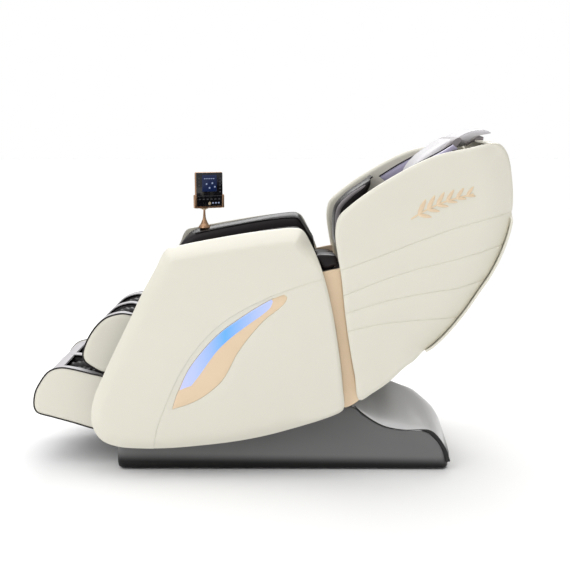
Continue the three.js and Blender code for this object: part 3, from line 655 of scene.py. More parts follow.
CREAM = (0.76, 0.735, 0.635)
LOOKS = {
    "cream_panel": look("cream_panel", CREAM, 0.34, coat=0.15, vary=0.015, grain=("noise", 420, 0.05)),
    "cream_leather": look("cream_leather", CREAM, 0.4, vary=0.02, grain=("leather", 1100, 0.08)),
    "black_leather": look("black_leather", (0.010, 0.007, 0.0075), 0.33, vary=0.15,
                          grain=("leather", 900, 0.18), wear=0.2, specular=0.24),
    "lavender_leather": look("lavender_leather", (0.52, 0.505, 0.52), 0.45, sheen=0.1, vary=0.04,
                             grain=("leather", 1000, 0.15), wear=0.1),
    # Painted shade: the next look is the lavender leather at about half its brightness, for pads that sit
    # deep in the back.
    "shaded_lavender_leather": look("shaded_lavender_leather", (0.27, 0.245, 0.255), 0.45, vary=0.06,
                         grain=("leather", 1000, 0.15), wear=0.15),
    "mauve_leather": look("mauve_leather", (0.36, 0.33, 0.46), 0.45, vary=0.06,
                          grain=("leather", 1000, 0.15)),
    "champagne_trim": look("champagne_trim", (0.80, 0.62, 0.43), 0.38, metal=0.25, coat=0.2, vary=0.04,
                           grain=("noise", 900, 0.03), wear=0.2),
    # Painted shade: the base is painted near black towards the bottom, below about 60 mm, for its lower band
    # turning away from the light.
    "base_grey": look("base_grey", (0.172, 0.172, 0.172), 0.34, vary=0.05, grain=("noise", 500, 0.05),
                      fade=((0.004, 0.004, 0.004), (0.0135, 0, 1), 22, 60), specular=0.3),
    # Painted shade: the hood is painted near black towards its low rear end, where it turns away from the
    # light.
    "hood_grey": look("hood_grey", (0.66, 0.66, 0.66), 0.34, vary=0.03, grain=("noise", 500, 0.05),
                      fade=((0.01, 0.01, 0.01), (-0.55, 0, 1), -318, -238)),
    "dark_steel": look("dark_steel", (0.035, 0.036, 0.04), 0.45, metal=0.6, vary=0.12,
                       grain=("noise", 1200, 0.05), wear=0.5),
    "black_plastic": look("black_plastic", (0.02, 0.02, 0.022), 0.5, vary=0.1,
                          grain=("noise", 1500, 0.08), wear=0.2),
    "black_rubber": look("black_rubber", (0.014, 0.014, 0.014), 0.75, vary=0.15,
                         grain=("noise", 800, 0.2), wear=0.3),
    "tablet_glass": look("tablet_glass", (0.008, 0.008, 0.011), 0.08, coat=0.4, vary=0.05),
    "thread": look("thread", (0.10, 0.09, 0.09), 0.7, vary=0.1, grain=("noise", 3000, 0.05)),
    "rose_gold": look("rose_gold", (0.42, 0.25, 0.15), 0.28, metal=0.8, vary=0.06,
                      grain=("noise", 2000, 0.02), wear=0.2),
    "light_guide": glow("light_guide", (
        (0.60, 0.62, 1.0), (0.52, 0.60, 1.0), (0.36, 0.52, 1.0), (0.13, 0.45, 1.0), (0.30, 0.50, 1.0),
        (0.46, 0.57, 1.0), (0.55, 0.62, 1.0)), -282, 24, 0.95, body=(0.03, 0.05, 0.09)),
    "screen_blue": glow("screen_blue", ((0.0, 0.008, 0.05), (0.01, 0.04, 0.22), (0.0, 0.01, 0.06)),
                        270, 330, 1.0),
    "icon_pale": glow("icon_pale", ((0.35, 0.42, 0.6), (0.5, 0.6, 0.8)), 250, 330, 0.8),
    "icon_dim": glow("icon_dim", ((0.05, 0.05, 0.055), (0.07, 0.07, 0.075)), 250, 330, 0.8),
}

for part in frame["record"]["subparts"]:
    holder = NODES[part["node"]]
    holder.data.materials.clear()
    holder.data.materials.append(LOOKS[part["material_slot"]])


# ---- Placing pieces ----


def piece(name, geometry, finish, body, stands_for=(), fill=None, sharp=35, subdivide=0):
    mesh = bpy.data.meshes.new(name)
    mesh.from_pydata([tuple(v) for v in geometry[0] * MM], [], geometry[1])
    mesh.update()
    mesh.shade_smooth()
    mesh.set_sharp_from_angle(angle=math.radians(sharp))
    thing = added(name, mesh)
    mesh.materials.append(LOOKS[finish])
    if subdivide:
        thing.modifiers.new("subdivision", "SUBSURF").levels = subdivide
        thing.modifiers["subdivision"].render_levels = subdivide
    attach(thing, body)
    if stands_for:
        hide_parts(*stands_for)
    return thing


def both(name, geometry, finish, body, stands_for=(), **more):
    """The left piece and its mirror image."""
    for side in ("left", "right"):
        nodes = [f"{node}_{side}" for node in stands_for]
        shape = geometry if side == "left" else mirrored(geometry)
        piece(f"{name}_{side}", shape, finish, body, nodes, **more)


# ---- Armrests ----


def arm_panel():
    outline = spline(ARM_OUTLINE, 260, True)
    crease = spline(ARM_CREASE, 120)
    leaf = corners(LEAF_LOW, LEAF_HIGH, ((-284, 306), (-290, 293), (-307, 241)))
    pocket = leaf - inward(leaf) * 1.2

    def face(points, edge):
        x, z = points.T
        top = step_between(705, 790, z)
        rear = step_between(60, 190, x)
        rim = mix(mix(ARM_SIDE_RIM, ARM_FACE - 8, rear), ARM_TOP_RIM, top)
        roll = mix(mix(44, 12, rear), 50, top)
        y = mix(rim, ARM_FACE, eased(edge, roll))
        away, left = nearest(points, crease)
        below = -left * away
        y -= 2.2 * step_between(-1.5, 1.5, below) + 1.6 * np.exp(-(below / 1.8) ** 2)
        gap = nearest(points, pocket, True)[0]
        sunk = inside(points, pocket)
        valley = (below > 0) & (z > 240) & (x < 30)
        y -= np.where(valley, 2.5 * (1 - step_between(0, 26, gap)), 0)
        y -= np.where(sunk, 5.0 * step_between(0, 2.5, gap), 0)
        return y

    def back(points, edge):
        return mix(ARM_SIDE_RIM, ARM_TOP_RIM, step_between(705, 790, points[:, 1])) - ARM_THICKNESS

    ring = np.concatenate([pocket, pocket[:1]])
    both("arm_shell", plate(outline, face, back, 12, [crease, ring]), "cream_panel", "seat", ["arm_panel"])

    def gold_face(points, edge):
        return ARM_FACE - 4.2 + 2.6 * eased(edge, 14)

    def light_face(points, edge):
        return ARM_FACE - 2.2 + 2.8 * eased(edge, 9)

    sunk_back = level(ARM_FACE - 7.0)
    fine = (1, 2.5, 5, 8)
    both("accent_leaf", plate(leaf, gold_face, sunk_back, 10, rims=fine), "champagne_trim", "seat",
         ["accent_trim"])
    light = corners(LIGHT_LOW, ((27, 602), (23, 609)), LIGHT_HIGH, ((-282, 306), (-242, 320)), step=5)
    both("light_guide", plate(light, light_face, sunk_back, 8, rims=fine), "light_guide", "seat",
         ["light_strip"])


def arm_upholstery():
    top = [(-310, 758), (-284, 772), (-85, 812), (24, 828), (96, 833), (111, 831), (128, 812), (152, 772),
           (174, 738)]
    low = [(180, 700), (188, 590), (206, 450), (214, 330), (196, 292), (-120, 290), (-500, 290), (-538, 308),
           (-522, 355), (-436, 540), (-354, 700)]
    stations = ((249, 20, 16), (250, 10, 8), (254, 3, 3), (262, 0, 0), (278, 0, 0), (296, 0, 0), (308, 0, 1),
                (314, 2, 4), (316, 8, 10))

    def crown(x, y):
        rear_rise = 4 * float(step_between(-60, 110, x) * step_between(265, 300, y))
        return 7 + 3 * float(step_between(-200, 90, x)) + rear_rise

    rings = []
    for y, pull, dip in stations:
        points = [(x, z - (ARM_TOP_RIM - y) * ARM_TOP_SLOPE + crown(x, y) - dip) for x, z in top] + low
        ring = spline(points, 220, True)
        ring = ring + inward(ring) * pull
        rings.append([(x, -y, z) for x, z in ring])
    both("arm_upholstery", loft(rings), "black_leather", "seat", ["arm_pad"], fill=0.9, sharp=60)
    seam = spline([(x, z - (ARM_TOP_RIM - 262) * ARM_TOP_SLOPE + 10) for x, z in top[1:-1]], 90)
    both("arm_seam", tube([(x, -256.0, z - 3) for x, z in seam], 2.2), "black_leather", "seat", fill=0.9)


def arm_bridges():
    """Pads between the armrests and the back. The left one is full, the right one is pressed down flat."""
    bridge = puffed(node_solid("arm_bridge_left", 0.5), 3, voxel=5, rounding=3)
    verts, faces = bridge
    rear_x, base_z = 243, verts[:, 2].min()
    large = np.column_stack([rear_x + (verts[:, 0] - rear_x) * 1.15, verts[:, 1],
                             base_z + (verts[:, 2] - base_z) * 1.25])
    piece("arm_bridge_pad_left", (large, faces), "black_leather", "seat", ["arm_bridge_left"], fill=0.9,
          subdivide=1)
    verts, faces = mirrored(bridge)
    below_post = 22
    flat = np.column_stack([verts[:, :2], base_z - below_post + (verts[:, 2] - base_z) * 0.2])
    piece("arm_bridge_pad_right", (flat, faces), "black_leather", "seat", ["arm_bridge_right"], fill=0.3,
          subdivide=1)


def corner_linings():
    outline = corners(((190, 684), (212, 600), (238, 470), (254, 350), (263, 246)),
                      ((263, 246), (300, 256), (312, 268)),
                      ((312, 268), (290, 400), (268, 545), (252, 684)), ((252, 684), (220, 684), (190, 684)))
    inner = lambda points, edge: 300 + 5 * (1 - eased(edge, 8))
    both("corner_lining", plate(outline, level(334.0), inner, 12, rims=(1.5, 4, 8, 13)), "black_leather",
         "seat", fill=0.8)


def corner_posts():
    outline = corners(*POST_OUTLINE)

    def face(points, edge):
        return 354 - 3.0 * (1 - eased(edge, 4)) - 1.5 * step_between(0, 30, edge)

    both("corner_trim", plate(outline, face, level(335.0), 12, rims=(1, 2.5, 4.5, 9)), "champagne_trim",
         "seat", ["corner_post"])


# ---- Backrest ----


BACK_COS, BACK_SIN = math.cos(BACK_ANGLE), math.sin(BACK_ANGLE)


def on_back(depth, y, along):
    """Point of the tilted back: depth behind its front face, along it from its foot."""
    return (BACK_FOOT[0] + depth * BACK_COS + along * BACK_SIN, y,
            BACK_FOOT[1] - depth * BACK_SIN + along * BACK_COS)


def back_wings():
    outline = spline(WING_OUTLINE, 280, True)
    seams = [spline(s, 90) for s in WING_SEAMS]
    rear_edge = spline(WING_OUTLINE[13:26], 80)

    def face(points, edge):
        y = HALF_WIDTH - 7 * (1 - eased(edge, 12))
        y -= 19 * (1 - eased(nearest(points, rear_edge)[0] - 13, 80))
        for seam in seams:
            away = nearest(points, seam)[0]
            y -= 2.6 * np.exp(-(away / 1.7) ** 2) + 1.5 * np.exp(-(away / 11) ** 2)
        return y

    def back(points, edge):
        return HALF_WIDTH - WING_THICKNESS + 7 * (1 - eased(edge, 9))

    both("back_shell", plate(outline, face, back, 12, seams), "cream_leather", "back", ["back_wing"])


def ornament():
    """Sprig of leaves on a curved stem, in raised champagne metal."""
    stem = spline([(470, 872), (520, 902), (585, 930), (668, 952)], 40)
    solids = [tube([(x, -HALF_WIDTH - 1.0, z) for x, z in stem], 2.6, flat=0.6)]
    for i in range(6):
        x, z = stem[5 + i * 6]
        for side, lift in ((1, 68), (-1, -42)):
            turn = math.radians(27 + side * (38 - i * 2))
            length = 54 - i * 3.5 if side > 0 else 44 - i * 3
            ring = []
            for a in around(28):
                u = 0.5 - 0.5 * math.cos(a)
                v = 0.16 * math.sin(a) * (1 - 0.35 * u)
                ring.append((x + length * (u * math.cos(turn) - v * math.sin(turn)),
                             z + length * (u * math.sin(turn) + v * math.cos(turn))))
            ring = np.array(ring)
            middle = ring.mean(0)
            rings = [np.insert(middle + (ring - middle) * share, 1, -HALF_WIDTH - proud, 1)
                     for share, proud in ((1, -2), (1, 1), (0.8, 2.6), (0.3, 3.2))]
            solids.append(loft(rings))
    both("sprig", joined(*solids), "champagne_trim", "back")


def rear_cover():
    curve = spline(REAR_CURVE, 90)
    out = sideways(curve, 0)
    share = np.linspace(0, 1, len(curve))
    half = mix(396, 358, step_between(862, 892, curve[:, 1]))
    rings = []
    rows = [np.linspace(-1, -0.95, 7), np.linspace(-0.92, 0.92, 49), np.linspace(0.95, 1, 7)]
    for t in np.concatenate(rows):
        y = t * half
        crown = 9 * (1 - t * t) ** 0.5
        groove = 3.0 * math.exp(-((abs(t) - 0.55) / 0.009) ** 2)
        across = 2.6 * np.exp(-((share - 0.3) / 0.006) ** 2) if abs(t) < 0.55 else 0 * share
        lift = crown - groove - across - 4
        outer = curve + out * lift[:, None]
        inner = curve + out * (lift - 7)[:, None]
        rings.append(np.concatenate([np.insert(outer, 1, y, 1), np.insert(inner, 1, y, 1)[::-1]]))
    verts, faces = loft(rings, caps=False)
    count = len(rings[0])
    for start in (0, (len(rings) - 1) * count):
        for i in range(count // 2 - 1):
            faces.append((start + i, start + i + 1, start + count - 2 - i, start + count - 1 - i))
    piece("rear_shell", consistent((verts, faces)), "cream_panel", "back", ["rear_cover"])


def back_cushions():
    rows = [150 + 92 * i for i in range(6)]

    def held(points):
        dx, dz = points[:, 0] - BACK_FOOT[0], points[:, 2] - BACK_FOOT[1]
        depth, along = dx * BACK_COS - dz * BACK_SIN, dx * BACK_SIN + dz * BACK_COS
        y = np.abs(points[:, 1])
        sewn = (np.abs(y - 118) < 4) & (depth < 20)
        for row in rows:
            sewn |= (np.abs(along - row) < 4) & (y < 118) & (depth < 20)
        return sewn | (depth > 30)

    pad = puffed(node_solid("back_pad", 5), 16, held, rounding=6)
    piece("back_cushion", pad, "black_leather", "back", ["back_pad"], fill=0.8, subdivide=1)
    surface = BVHTree.FromPolygons([Vector(v) for v in pad[0]], pad[1])
    forward = np.array((-BACK_COS, 0, BACK_SIN))

    def on_surface(y, along, proud=0.6):
        hit = surface.ray_cast(Vector(on_back(-80, y, along)), Vector(-forward))[0]
        hit = hit if hit is not None else Vector(on_back(0, y, along))
        return np.array(hit) + forward * proud

    for side, y in (("left", -118), ("right", 118)):
        path = [on_surface(y, along) for along in np.linspace(30, 800, 130)]
        piece(f"back_piping_{side}", tube(path, 2.6), "black_leather", "back", fill=0.9)

    # Neck roll: a pale pad that stands forward over the top of the back.
    rings = []
    for y in np.linspace(-150, 150, 41):
        fade = (1 - (abs(y) / 150) ** 4) ** 0.5
        profile = [on_back(d, y, a) for d, a in (
            (2, 628), (-14 * fade - 6, 636), (-34 * fade - 8, 664), (-41 * fade - 8, 700),
            (-37 * fade - 8, 745), (-24 * fade - 6, 795), (-8 * fade - 4, 838), (6, 856), (22, 850),
            (10, 815), (-4, 760), (-8, 700))]
        rings.append(spline(profile, 56, True))
    piece("neck_roll", loft(rings), "lavender_leather", "back", fill=0.8, sharp=60)
    # Top pad and gusset: lavender leather darkened by painted shade.
    rings = []
    for y in np.linspace(-170, 170, 41):
        fade = (1 - (abs(y) / 170) ** 6) ** 0.5
        profile = [on_back(d, y, a) for d, a in (
            (30, 700), (2 - 4 * fade, 745), (-2 - 10 * fade, 800), (2 - 8 * fade, 845), (10, 866), (20, 866),
            (22, 800), (20, 720))]
        rings.append(spline(profile, 40, True))
    piece("top_cushion", loft(rings), "shaded_lavender_leather", "back", fill=0.8, sharp=60)
    gusset = [on_back(d, 0, a) for d, a in ((40, 868), (46, 884), (60, 900), (84, 914))]
    roll = tube(spline(gusset, 24), np.linspace(16, 9, 24), 18)
    both("top_gusset", moved(roll, (0, -130, 0)), "shaded_lavender_leather", "back", fill=0.7)

    # Narrow pads beside the head, with piping along their front edge.
    path = spline([(-86, 604), (-74, 640), (-55, 690), (-33, 740), (-11, 790), (4, 830)], 40)
    rings, piping = [], []
    for i, (depth, along) in enumerate(path):
        taper = math.sin(math.pi * (i + 0.5) / 40) ** 0.25
        front, rear = np.array(on_back(depth, -200, along)), 26
        half = (rear - depth) / 2
        rings.append([front - forward * (half - half * bent(math.sin(a), 0.5))
                      + np.array((0, 26 * taper * bent(math.cos(a), 0.6), 0)) for a in around(28)])
        piping.append(front + forward + np.array((0, 17 * taper, 0)))
    both("head_side_pad", loft(rings), "mauve_leather", "back", fill=0.8, sharp=60)
    both("head_side_piping", tube(piping, 2.6), "black_leather", "back", fill=0.9)


def head_pillow():
    """Crescent pillow that rests over the top of the back, thin and sharp at its rear edge."""
    profile = np.array([
        (640, 1108), (650, 1127), (671, 1143), (698, 1154), (725, 1158), (752, 1157), (768, 1152),
        (778, 1145), (762, 1144), (745, 1140), (724, 1129), (704, 1112), (680, 1099), (655, 1098)])
    middle = profile.mean(0)
    rings = []
    for t in np.concatenate([np.linspace(-1, -0.9, 9), np.linspace(-0.86, 0.86, 33), np.linspace(0.9, 1, 9)]):
        shrink = max(0.02, (1 - abs(t) ** 9) ** 0.5)
        ring = spline(middle + (profile - middle) * shrink, 90, True)
        sag = 3.0 * (1 - math.cos(6 * math.pi * t)) / 2 * (1 - abs(t))
        rings.append(np.insert(ring - (0, sag), 1, 150 * t, 1))
    piece("head_cushion", loft(rings), "lavender_leather", "back", ["head_pillow"], fill=0.6, sharp=70)
    seam = spline([(648, 1119), (671, 1136), (698, 1148), (725, 1153), (752, 1152)], 40)
    both("head_stitching", stitches(np.insert(seam, 1, -149.0, 1), 5.0), "thread", "back", fill=0.9)


def bolsters():
    """Pads beside the shoulders: black leather with a pale insert along the front, its lavender leather
    darkened by painted shade.
    """
    front = spline(BOLSTER_FRONT, 70)
    into = sideways(front, 0)
    black, pale = [], []
    for i, p in enumerate(front):
        share = i / (len(front) - 1)
        end = math.sin(math.pi * min(1, 0.06 + 0.97 * share)) ** 0.45
        depth = 78 * end + 2
        ring = []
        for a in around(48):
            u, v = bent(math.cos(a), 0.5), bent(math.sin(a), 0.5)
            y = 296 + 58 * u
            px, pz = p + into[i] * ((1 - v) / 2 * depth + (5 if v > 0 else 0) * step_between(305, 240, y))
            ring.append((px, -y, pz))
        black.append(ring)
        if 6 <= i <= 64:
            taper = math.sin(math.pi * (i - 5) / 60) ** 0.4
            pale.append([np.insert(p + into[i] * (17 + 9 * taper * math.cos(a)), 1,
                                   5 * taper * math.sin(a) - 241) for a in around(24)])
    both("shoulder_bolster", loft(black), "black_leather", "back", ["side_bolster"], fill=0.85, sharp=60)
    both("bolster_insert", loft(pale), "shaded_lavender_leather", "back", fill=0.8, sharp=60)


# ---- Seat ----


def seat_cushion():
    def held(points):
        x, y, z = points.T
        top = z > 455
        return (top & (np.abs(np.abs(y) - 150) < 4)) | (top & (np.abs(x + 285) < 4)) | (z < 400)

    cushion = puffed(node_solid("seat_cushion", 5), 14, held, rounding=6)
    piece("seat_pad", cushion, "black_leather", "seat", ["seat_cushion"], fill=0.85, subdivide=1)
    surface = BVHTree.FromPolygons([Vector(v) for v in cushion[0]], cushion[1])
    for side, y in (("left", -150), ("right", 150)):
        path = []
        for x in np.linspace(-335, 85, 90):
            hit = surface.ray_cast(Vector((x, y, 700)), Vector((0, 0, -1)))[0]
            path.append((x, y, hit.z + 0.5 if hit is not None else 500))
        piece(f"seat_piping_{side}", tube(path, 2.6), "black_leather", "seat", fill=0.9)


# ---- Leg rest ----


def skin(outline, crown=5.0):
    """Side panel of a leg section."""
    face = lambda points, edge: LEG_FACE - crown * (1 - eased(edge, 16))
    return plate(outline, face, level(LEG_FACE - LEG_SKIN), 12, rims=(1.5, 4, 8, 13, 18))


def along_outline(outline, y, radius=2.4, inset=1.0):
    ring = outline + inward(outline) * inset
    return tube([(x, -y, z) for x, z in ring], radius, loop=True)


def crest_strip(path, y, width, name, body, thick=3.4):
    """Padded strip over the crest of a leg wall, or over the middle or the whole front where y is 0."""
    path = spline(path, 60)
    up = sideways(path, 1)
    rings = []
    for i, p in enumerate(path):
        ring = []
        for a in around(28):
            px, pz = p + up[i] * (1.0 + thick * bent(math.sin(a), 0.7))
            ring.append((px, -y + width / 2 * bent(math.cos(a), 0.5), pz))
        rings.append(ring)
    make = both if y else piece
    make(name, loft(rings), "lavender_leather", body, fill=0.9, sharp=70)


def leg_roll(path, y, half, radius, name, body):
    """Soft roll that lies along a leg well, thinner towards its ends."""
    path = spline(path, 40)
    rings = []
    for i, (x, z) in enumerate(path):
        swell = radius * (0.72 + 0.28 * math.sin(math.pi * i / 39)) * (1 + 0.07 * math.cos(i * 1.15))
        rings.append([(x + swell * 0.5 * math.sin(a), -y + half * math.cos(a), z + swell * math.sin(a))
                      for a in around(28)])
    both(name, loft(rings), "black_leather", body, fill=0.8, sharp=70)


def leg_rest():
    calf = spline(CALF_OUTLINE, 120, True)
    foot = spline(FOOT_OUTLINE, 140, True)
    both("calf_skin", skin(calf), "cream_panel", "calf", ["calf_panel"])
    both("foot_skin", skin(foot), "cream_panel", "foot", ["foot_panel"])
    edge = LEG_FACE - 4
    both("calf_piping", along_outline(calf, edge, 2.7, 0), "black_leather", "calf", fill=0.9)
    both("foot_piping", along_outline(foot, edge, 2.7, 0), "black_leather", "foot", fill=0.9)
    def soft_walls(section):
        both(f"{section}_bolster", puffed(node_solid(f"{section}_wall_left", 2), 4, voxel=5), "black_leather",
             section, [f"{section}_wall"], fill=0.9, subdivide=1)
        piece(f"{section}_ridge", puffed(node_solid(f"{section}_divider", 2), 3, voxel=5), "black_leather",
              section, [f"{section}_divider"], fill=0.9, subdivide=1)

    soft_walls("calf")
    piece("calf_cushion", puffed(node_solid("calf_pad", 3), 6, lambda p: np.abs(p[:, 1]) < 14, voxel=5),
          "black_leather", "calf", ["calf_pad"], fill=0.85, subdivide=1)
    soft_walls("foot")
    wall_y = LEG_FACE - LEG_SKIN - 15
    wall_width, ridge_width, lip_width = 38, 32, 2 * wall_y + 30
    calf_lip = [(-590, 476), (-603, 456), (-614, 436), (-622, 414), (-627, 392)]
    foot_lip = [(-708, 336), (-730, 334), (-752, 320), (-776, 289), (-794, 255), (-800, 222), (-797, 200)]
    for section, crest, lip in (("calf", LEG_CREST, calf_lip), ("foot", TOE_CREST, foot_lip)):
        crest_strip(crest, wall_y, wall_width, f"{section}_rim", section)
        crest_strip(crest, 0, ridge_width, f"{section}_ridge_rim", section)
        crest_strip(lip, 0, lip_width, f"{section}_lip", section)
    for section, path, radius in (("calf", [(-452, 500), (-500, 506), (-545, 492), (-584, 456)], 20),
                                  ("foot", [(-575, 288), (-620, 298), (-670, 306), (-716, 306)], 22)):
        leg_roll(path, 60, 26, radius, f"{section}_roll_inner", section)
        leg_roll(path, 152, 30, radius, f"{section}_roll_outer", section)


# ---- Base ----

DECK_TOP = 217
BASE_SHOULDER = (
    (-512, 200), (-500, 213), (-478, DECK_TOP), (290, DECK_TOP), (305, 215), (332, 191), (369, 166),
    (406, 148), (444, 139), (481, 135), (541, 135), (567, 126), (594, 99), (613, 67), (625, 30),
)
BASE_ENDS = (-512.0, 627.0)
BAND_TOP = 54.0
BASE_HALF = 300.0
BASE_LEAN = 34.0
BASE_CORNER = 24.0


def shoulder(x):
    xs, zs = zip(*BASE_SHOULDER)
    return np.interp(x, xs, zs)


def base_ring(share, inset=0.0, count=280):
    """Ring round the base. share is -1 at the bottom, 0 at the top of the band and 1 at the shoulder."""
    x0, x1 = BASE_ENDS
    points = []
    for i, (cx, cy) in enumerate(((x1, 1), (x0, 1), (x0, -1), (x1, -1))):
        for a in np.linspace(0, math.pi / 2, 9) + i * math.pi / 2:
            points.append((cx + BASE_CORNER * (math.cos(a) - (1 if cx > 0 else -1)),
                           cy * (BASE_HALF - BASE_CORNER) + BASE_CORNER * math.sin(a)))
    points = np.array(points + points[:1])
    along = distances(points)
    wanted = np.linspace(0, along[-1], count, endpoint=False)
    x, y = (np.interp(wanted, along, points[:, k]) for k in (0, 1))
    top = shoulder(x)
    band = np.minimum(BAND_TOP, top * 0.7)
    if share < 0:
        z, lean = 4 + (band - 4) * (1 + share), 0 * top
    else:
        z, lean = band + (top - band) * share, BASE_LEAN * (top - band) / (DECK_TOP - BAND_TOP) * share
    middle = sum(BASE_ENDS) / 2
    x = middle + (x - middle) * (1 - (inset + 5 * max(share, 0)) / 570)
    return np.stack([x, y * (1 - (lean + inset) / BASE_HALF), z], 1)


def ring_solid(rings):
    """Closed solid through rings, the last joined to the first."""
    verts, faces = loft(rings, caps=False)
    count = len(rings[0])
    last = len(verts) - count
    faces = list(faces) + [(last + i, last + (i + 1) % count, (i + 1) % count, i) for i in range(count)]
    return consistent((verts, faces))


def deck(scale, drop=0.0):
    ring = base_ring(1)
    middle = sum(BASE_ENDS) / 2
    x = middle + (ring[:, 0] - middle) * scale
    return np.stack([x, ring[:, 1] * scale, shoulder(x) - drop], 1)


def base():
    sides = [base_ring(share, inset) for share, inset in (
        (-1, 12), (-0.97, 6), (-0.86, 2), (-0.65, 0.5), (-0.3, 0), (0, 0), (0.3, 0), (0.6, 0), (0.85, 0),
        (0.96, 0.5), (0.985, 2), (1, 7))]
    tops = [deck(scale) for scale in (0.94, 0.7, 0.4, 0.05)]
    under = [deck(scale, 7) for scale in (0.05, 0.6, 0.92)]
    inner = [base_ring(0.5, 8), base_ring(0, 9), base_ring(-0.9, 15)]
    piece("base_housing", ring_solid(sides + tops + under + inner), "base_grey", "base", ["base_shell"],
          sharp=50)


def rear_hood():
    top_line = spline([(296, 222), (315, 232), (350, 243), (406, 247), (450, 240), (498, 222), (533, 203),
                       (564, 182), (596, 156), (621, 130), (633, 102), (635, 70), (635, 26)], 60)
    rings = []
    for x, top_z in top_line:
        foot_z = min(shoulder(min(x, 622)) - 1, top_z - 2)
        corner = np.clip((x - 585) / 50, 0, 1)
        lean = BASE_LEAN * (foot_z - BAND_TOP) / (DECK_TOP - BAND_TOP)
        half = BASE_HALF - max(lean, 0) - 3 - 43 * (1 - (1 - corner ** 2) ** 0.5)
        ring = []
        for a in np.linspace(0, math.pi, 48):
            y = half * bent(math.cos(a), 0.6)
            fall = 0.2 * abs(y) * min(1, (top_z - foot_z) / 90)
            ring.append((x, y, mix(foot_z, top_z - fall, math.sin(a) ** 0.5)))
        rings.append(ring)
    piece("rear_hood", loft(rings), "hood_grey", "base", ["base_hood"], sharp=60)

    crease = spline([p for p in BASE_SHOULDER if p[0] > 290], 90)
    lean = BASE_LEAN * (crease[:, 1] - BAND_TOP) / (DECK_TOP - BAND_TOP)
    path = np.stack([crease[:, 0], -(BASE_HALF - lean - 3.5), crease[:, 1] + 1], 1)
    width = 2.0 + 6.5 * step_between(525, 575, crease[:, 0])
    both("hood_gasket", tube(path, width, 10, flat=0.7), "black_rubber", "base")


# ---- Tablet ----


def tablet():
    low, high = node_box("tablet_stand")
    centre = (low + high) / 2
    turn = math.radians(25)
    place = lambda geometry: moved(geometry, (centre[0], centre[1], 0), turn)
    stem = turned([(0, 777), (21, 777), (23, 780), (22, 785), (17, 791), (12.5, 799), (10, 806), (7, 812),
                   (5.6, 820), (4.6, 832), (4.2, 848), (0, 848)])
    piece("tablet_stalk", place(stem), "rose_gold", "seat", ["tablet_stand"])
    piece("tablet_case", place(block((-41, -15, 861), (72, -4, 995), 5, 4)), "rose_gold", "tablet")
    piece("tablet_front", place(block((-37.5, -17, 863), (71, -13, 993), 1.9, 3)), "tablet_glass", "tablet",
          ["tablet"])
    claws = [block((-46, -19, 856), (-36, -3, 908), 3), block((68, -19, 856), (77, -3, 908), 3),
             block((-40, -12, 855), (70, -3, 861.5), 2.5)]
    piece("tablet_claws", place(joined(*claws)), "rose_gold", "tablet")
    piece("tablet_screen", place(block((-14, -17.5, 920), (46, -16.5, 984), 0.4)), "screen_blue", "tablet")
    spots = [block((-6 + 9 * i, -17.9, 968), (0 + 9 * i, -17.2, 971), 0.3) for i in range(5)]
    spots += [block((x - 3, -17.9, z - 3), (x + 3, -17.2, z + 3), 1.0)
              for x, z in ((4, 949), (28, 952), (38, 938), (16, 934))]
    spots += [block((x - 3.2, -17.6, 873), (x + 3.2, -16.8, 878), 0.3) for x in (30, 42, 54)]
    piece("tablet_icons", place(joined(*spots)), "icon_pale", "tablet")
    dim = [block((x - 3, -17.4, 916 + row * 13), (x + 3, -16.8, 920 + row * 13), 0.25)
           for row in range(5) for x in (-26, 60)]
    dim.append(block((-34, -17.4, 902), (67, -16.8, 903.4), 0.25))
    dim += [block((x - 4, -17.4, 888), (x + 4, -16.8, 892), 0.25) for x in (-24, -8, 8, 24, 40, 56)]
    piece("tablet_marks", place(joined(*dim)), "icon_dim", "tablet")


arm_panel()
arm_upholstery()
arm_bridges()
corner_linings()
corner_posts()
back_wings()
ornament()
rear_cover()
back_cushions()
head_pillow()
bolsters()
seat_cushion()
leg_rest()
base()
rear_hood()
tablet()

# ---- Camera, light and floor ----

view = added("camera", bpy.data.cameras.new("camera"))
view.location = (0.076, -3.6, 1.148)
DOWNWARD, SIDEWARD = 8.7, 0.172
view.rotation_euler = (math.radians(90 - DOWNWARD), 0, math.radians(SIDEWARD))
view.data.sensor_width = 36
view.data.lens = 63.16
bpy.context.scene.camera = view

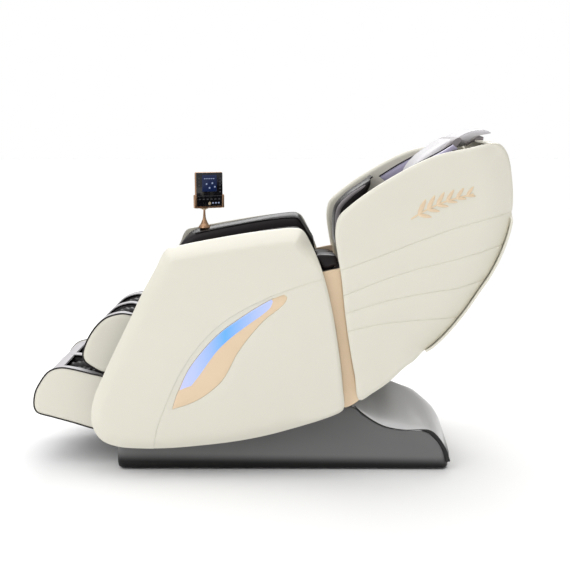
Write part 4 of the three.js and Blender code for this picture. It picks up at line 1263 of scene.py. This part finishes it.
world = bpy.data.worlds.new("studio")
world.use_nodes = True
studio = world.node_tree
backdrop = studio.nodes["Background"]
backdrop.inputs["Color"].default_value = (1, 1, 1, 1)
soft = studio.nodes.new("ShaderNodeBackground")
toward = studio.nodes.new("ShaderNodeVectorMath")
toward.operation = "DOT_PRODUCT"
toward.inputs[1].default_value = (-0.42, -0.72, 0.55)
dimmer = studio.nodes.new("ShaderNodeMapRange")
for socket, value in (("From Min", -1), ("From Max", 1), ("To Min", 0.20), ("To Max", 0.92)):
    dimmer.inputs[socket].default_value = value
seen = studio.nodes.new("ShaderNodeLightPath")
either = studio.nodes.new("ShaderNodeMixShader")
studio.links.new(studio.nodes.new("ShaderNodeTexCoord").outputs["Generated"], toward.inputs[0])
studio.links.new(toward.outputs["Value"], dimmer.inputs["Value"])
studio.links.new(dimmer.outputs["Result"], soft.inputs["Strength"])
studio.links.new(seen.outputs["Is Camera Ray"], either.inputs["Fac"])
studio.links.new(soft.outputs["Background"], either.inputs[1])
studio.links.new(backdrop.outputs["Background"], either.inputs[2])
studio.links.new(either.outputs["Shader"], studio.nodes["World Output"].inputs["Surface"])
bpy.context.scene.world = world
bpy.context.scene.view_settings.view_transform = "Standard"


def softbox(name, place, aim, size, power):
    data = bpy.data.lights.new(name, "AREA")
    data.shape = "RECTANGLE"
    data.size, data.size_y = size
    data.energy = power
    lamp = added(name, data)
    lamp.location = place
    lamp.rotation_euler = (Vector(aim) - Vector(place)).to_track_quat("-Z", "Y").to_euler()


softbox("front_left", (-2.4, -3.2, 3.0), (0.1, 0.2, 0.7), (2.4, 2.0), 27)
softbox("rear_strip", (0.2, 3.2, 3.0), (0, 0, 0.7), (3.6, 1.2), 75)

sky = bpy.data.lights.new("overhead", "SUN")
sky.energy = 1.6
sky.angle = math.radians(85)
added("overhead", sky).rotation_euler = (math.radians(-8), math.radians(-6), 0)

floor = bpy.data.meshes.new("floor")
reach = 40.0
floor.from_pydata([(x * reach, y * reach, 0) for x, y in ((-1, -1), (1, -1), (1, 1), (-1, 1))], [],
                  [(0, 1, 2, 3)])
ground = added("floor", floor)
floor.materials.append(look("floor", (0.955, 0.955, 0.955), 0.9, vary=0.005, specular=0.0))
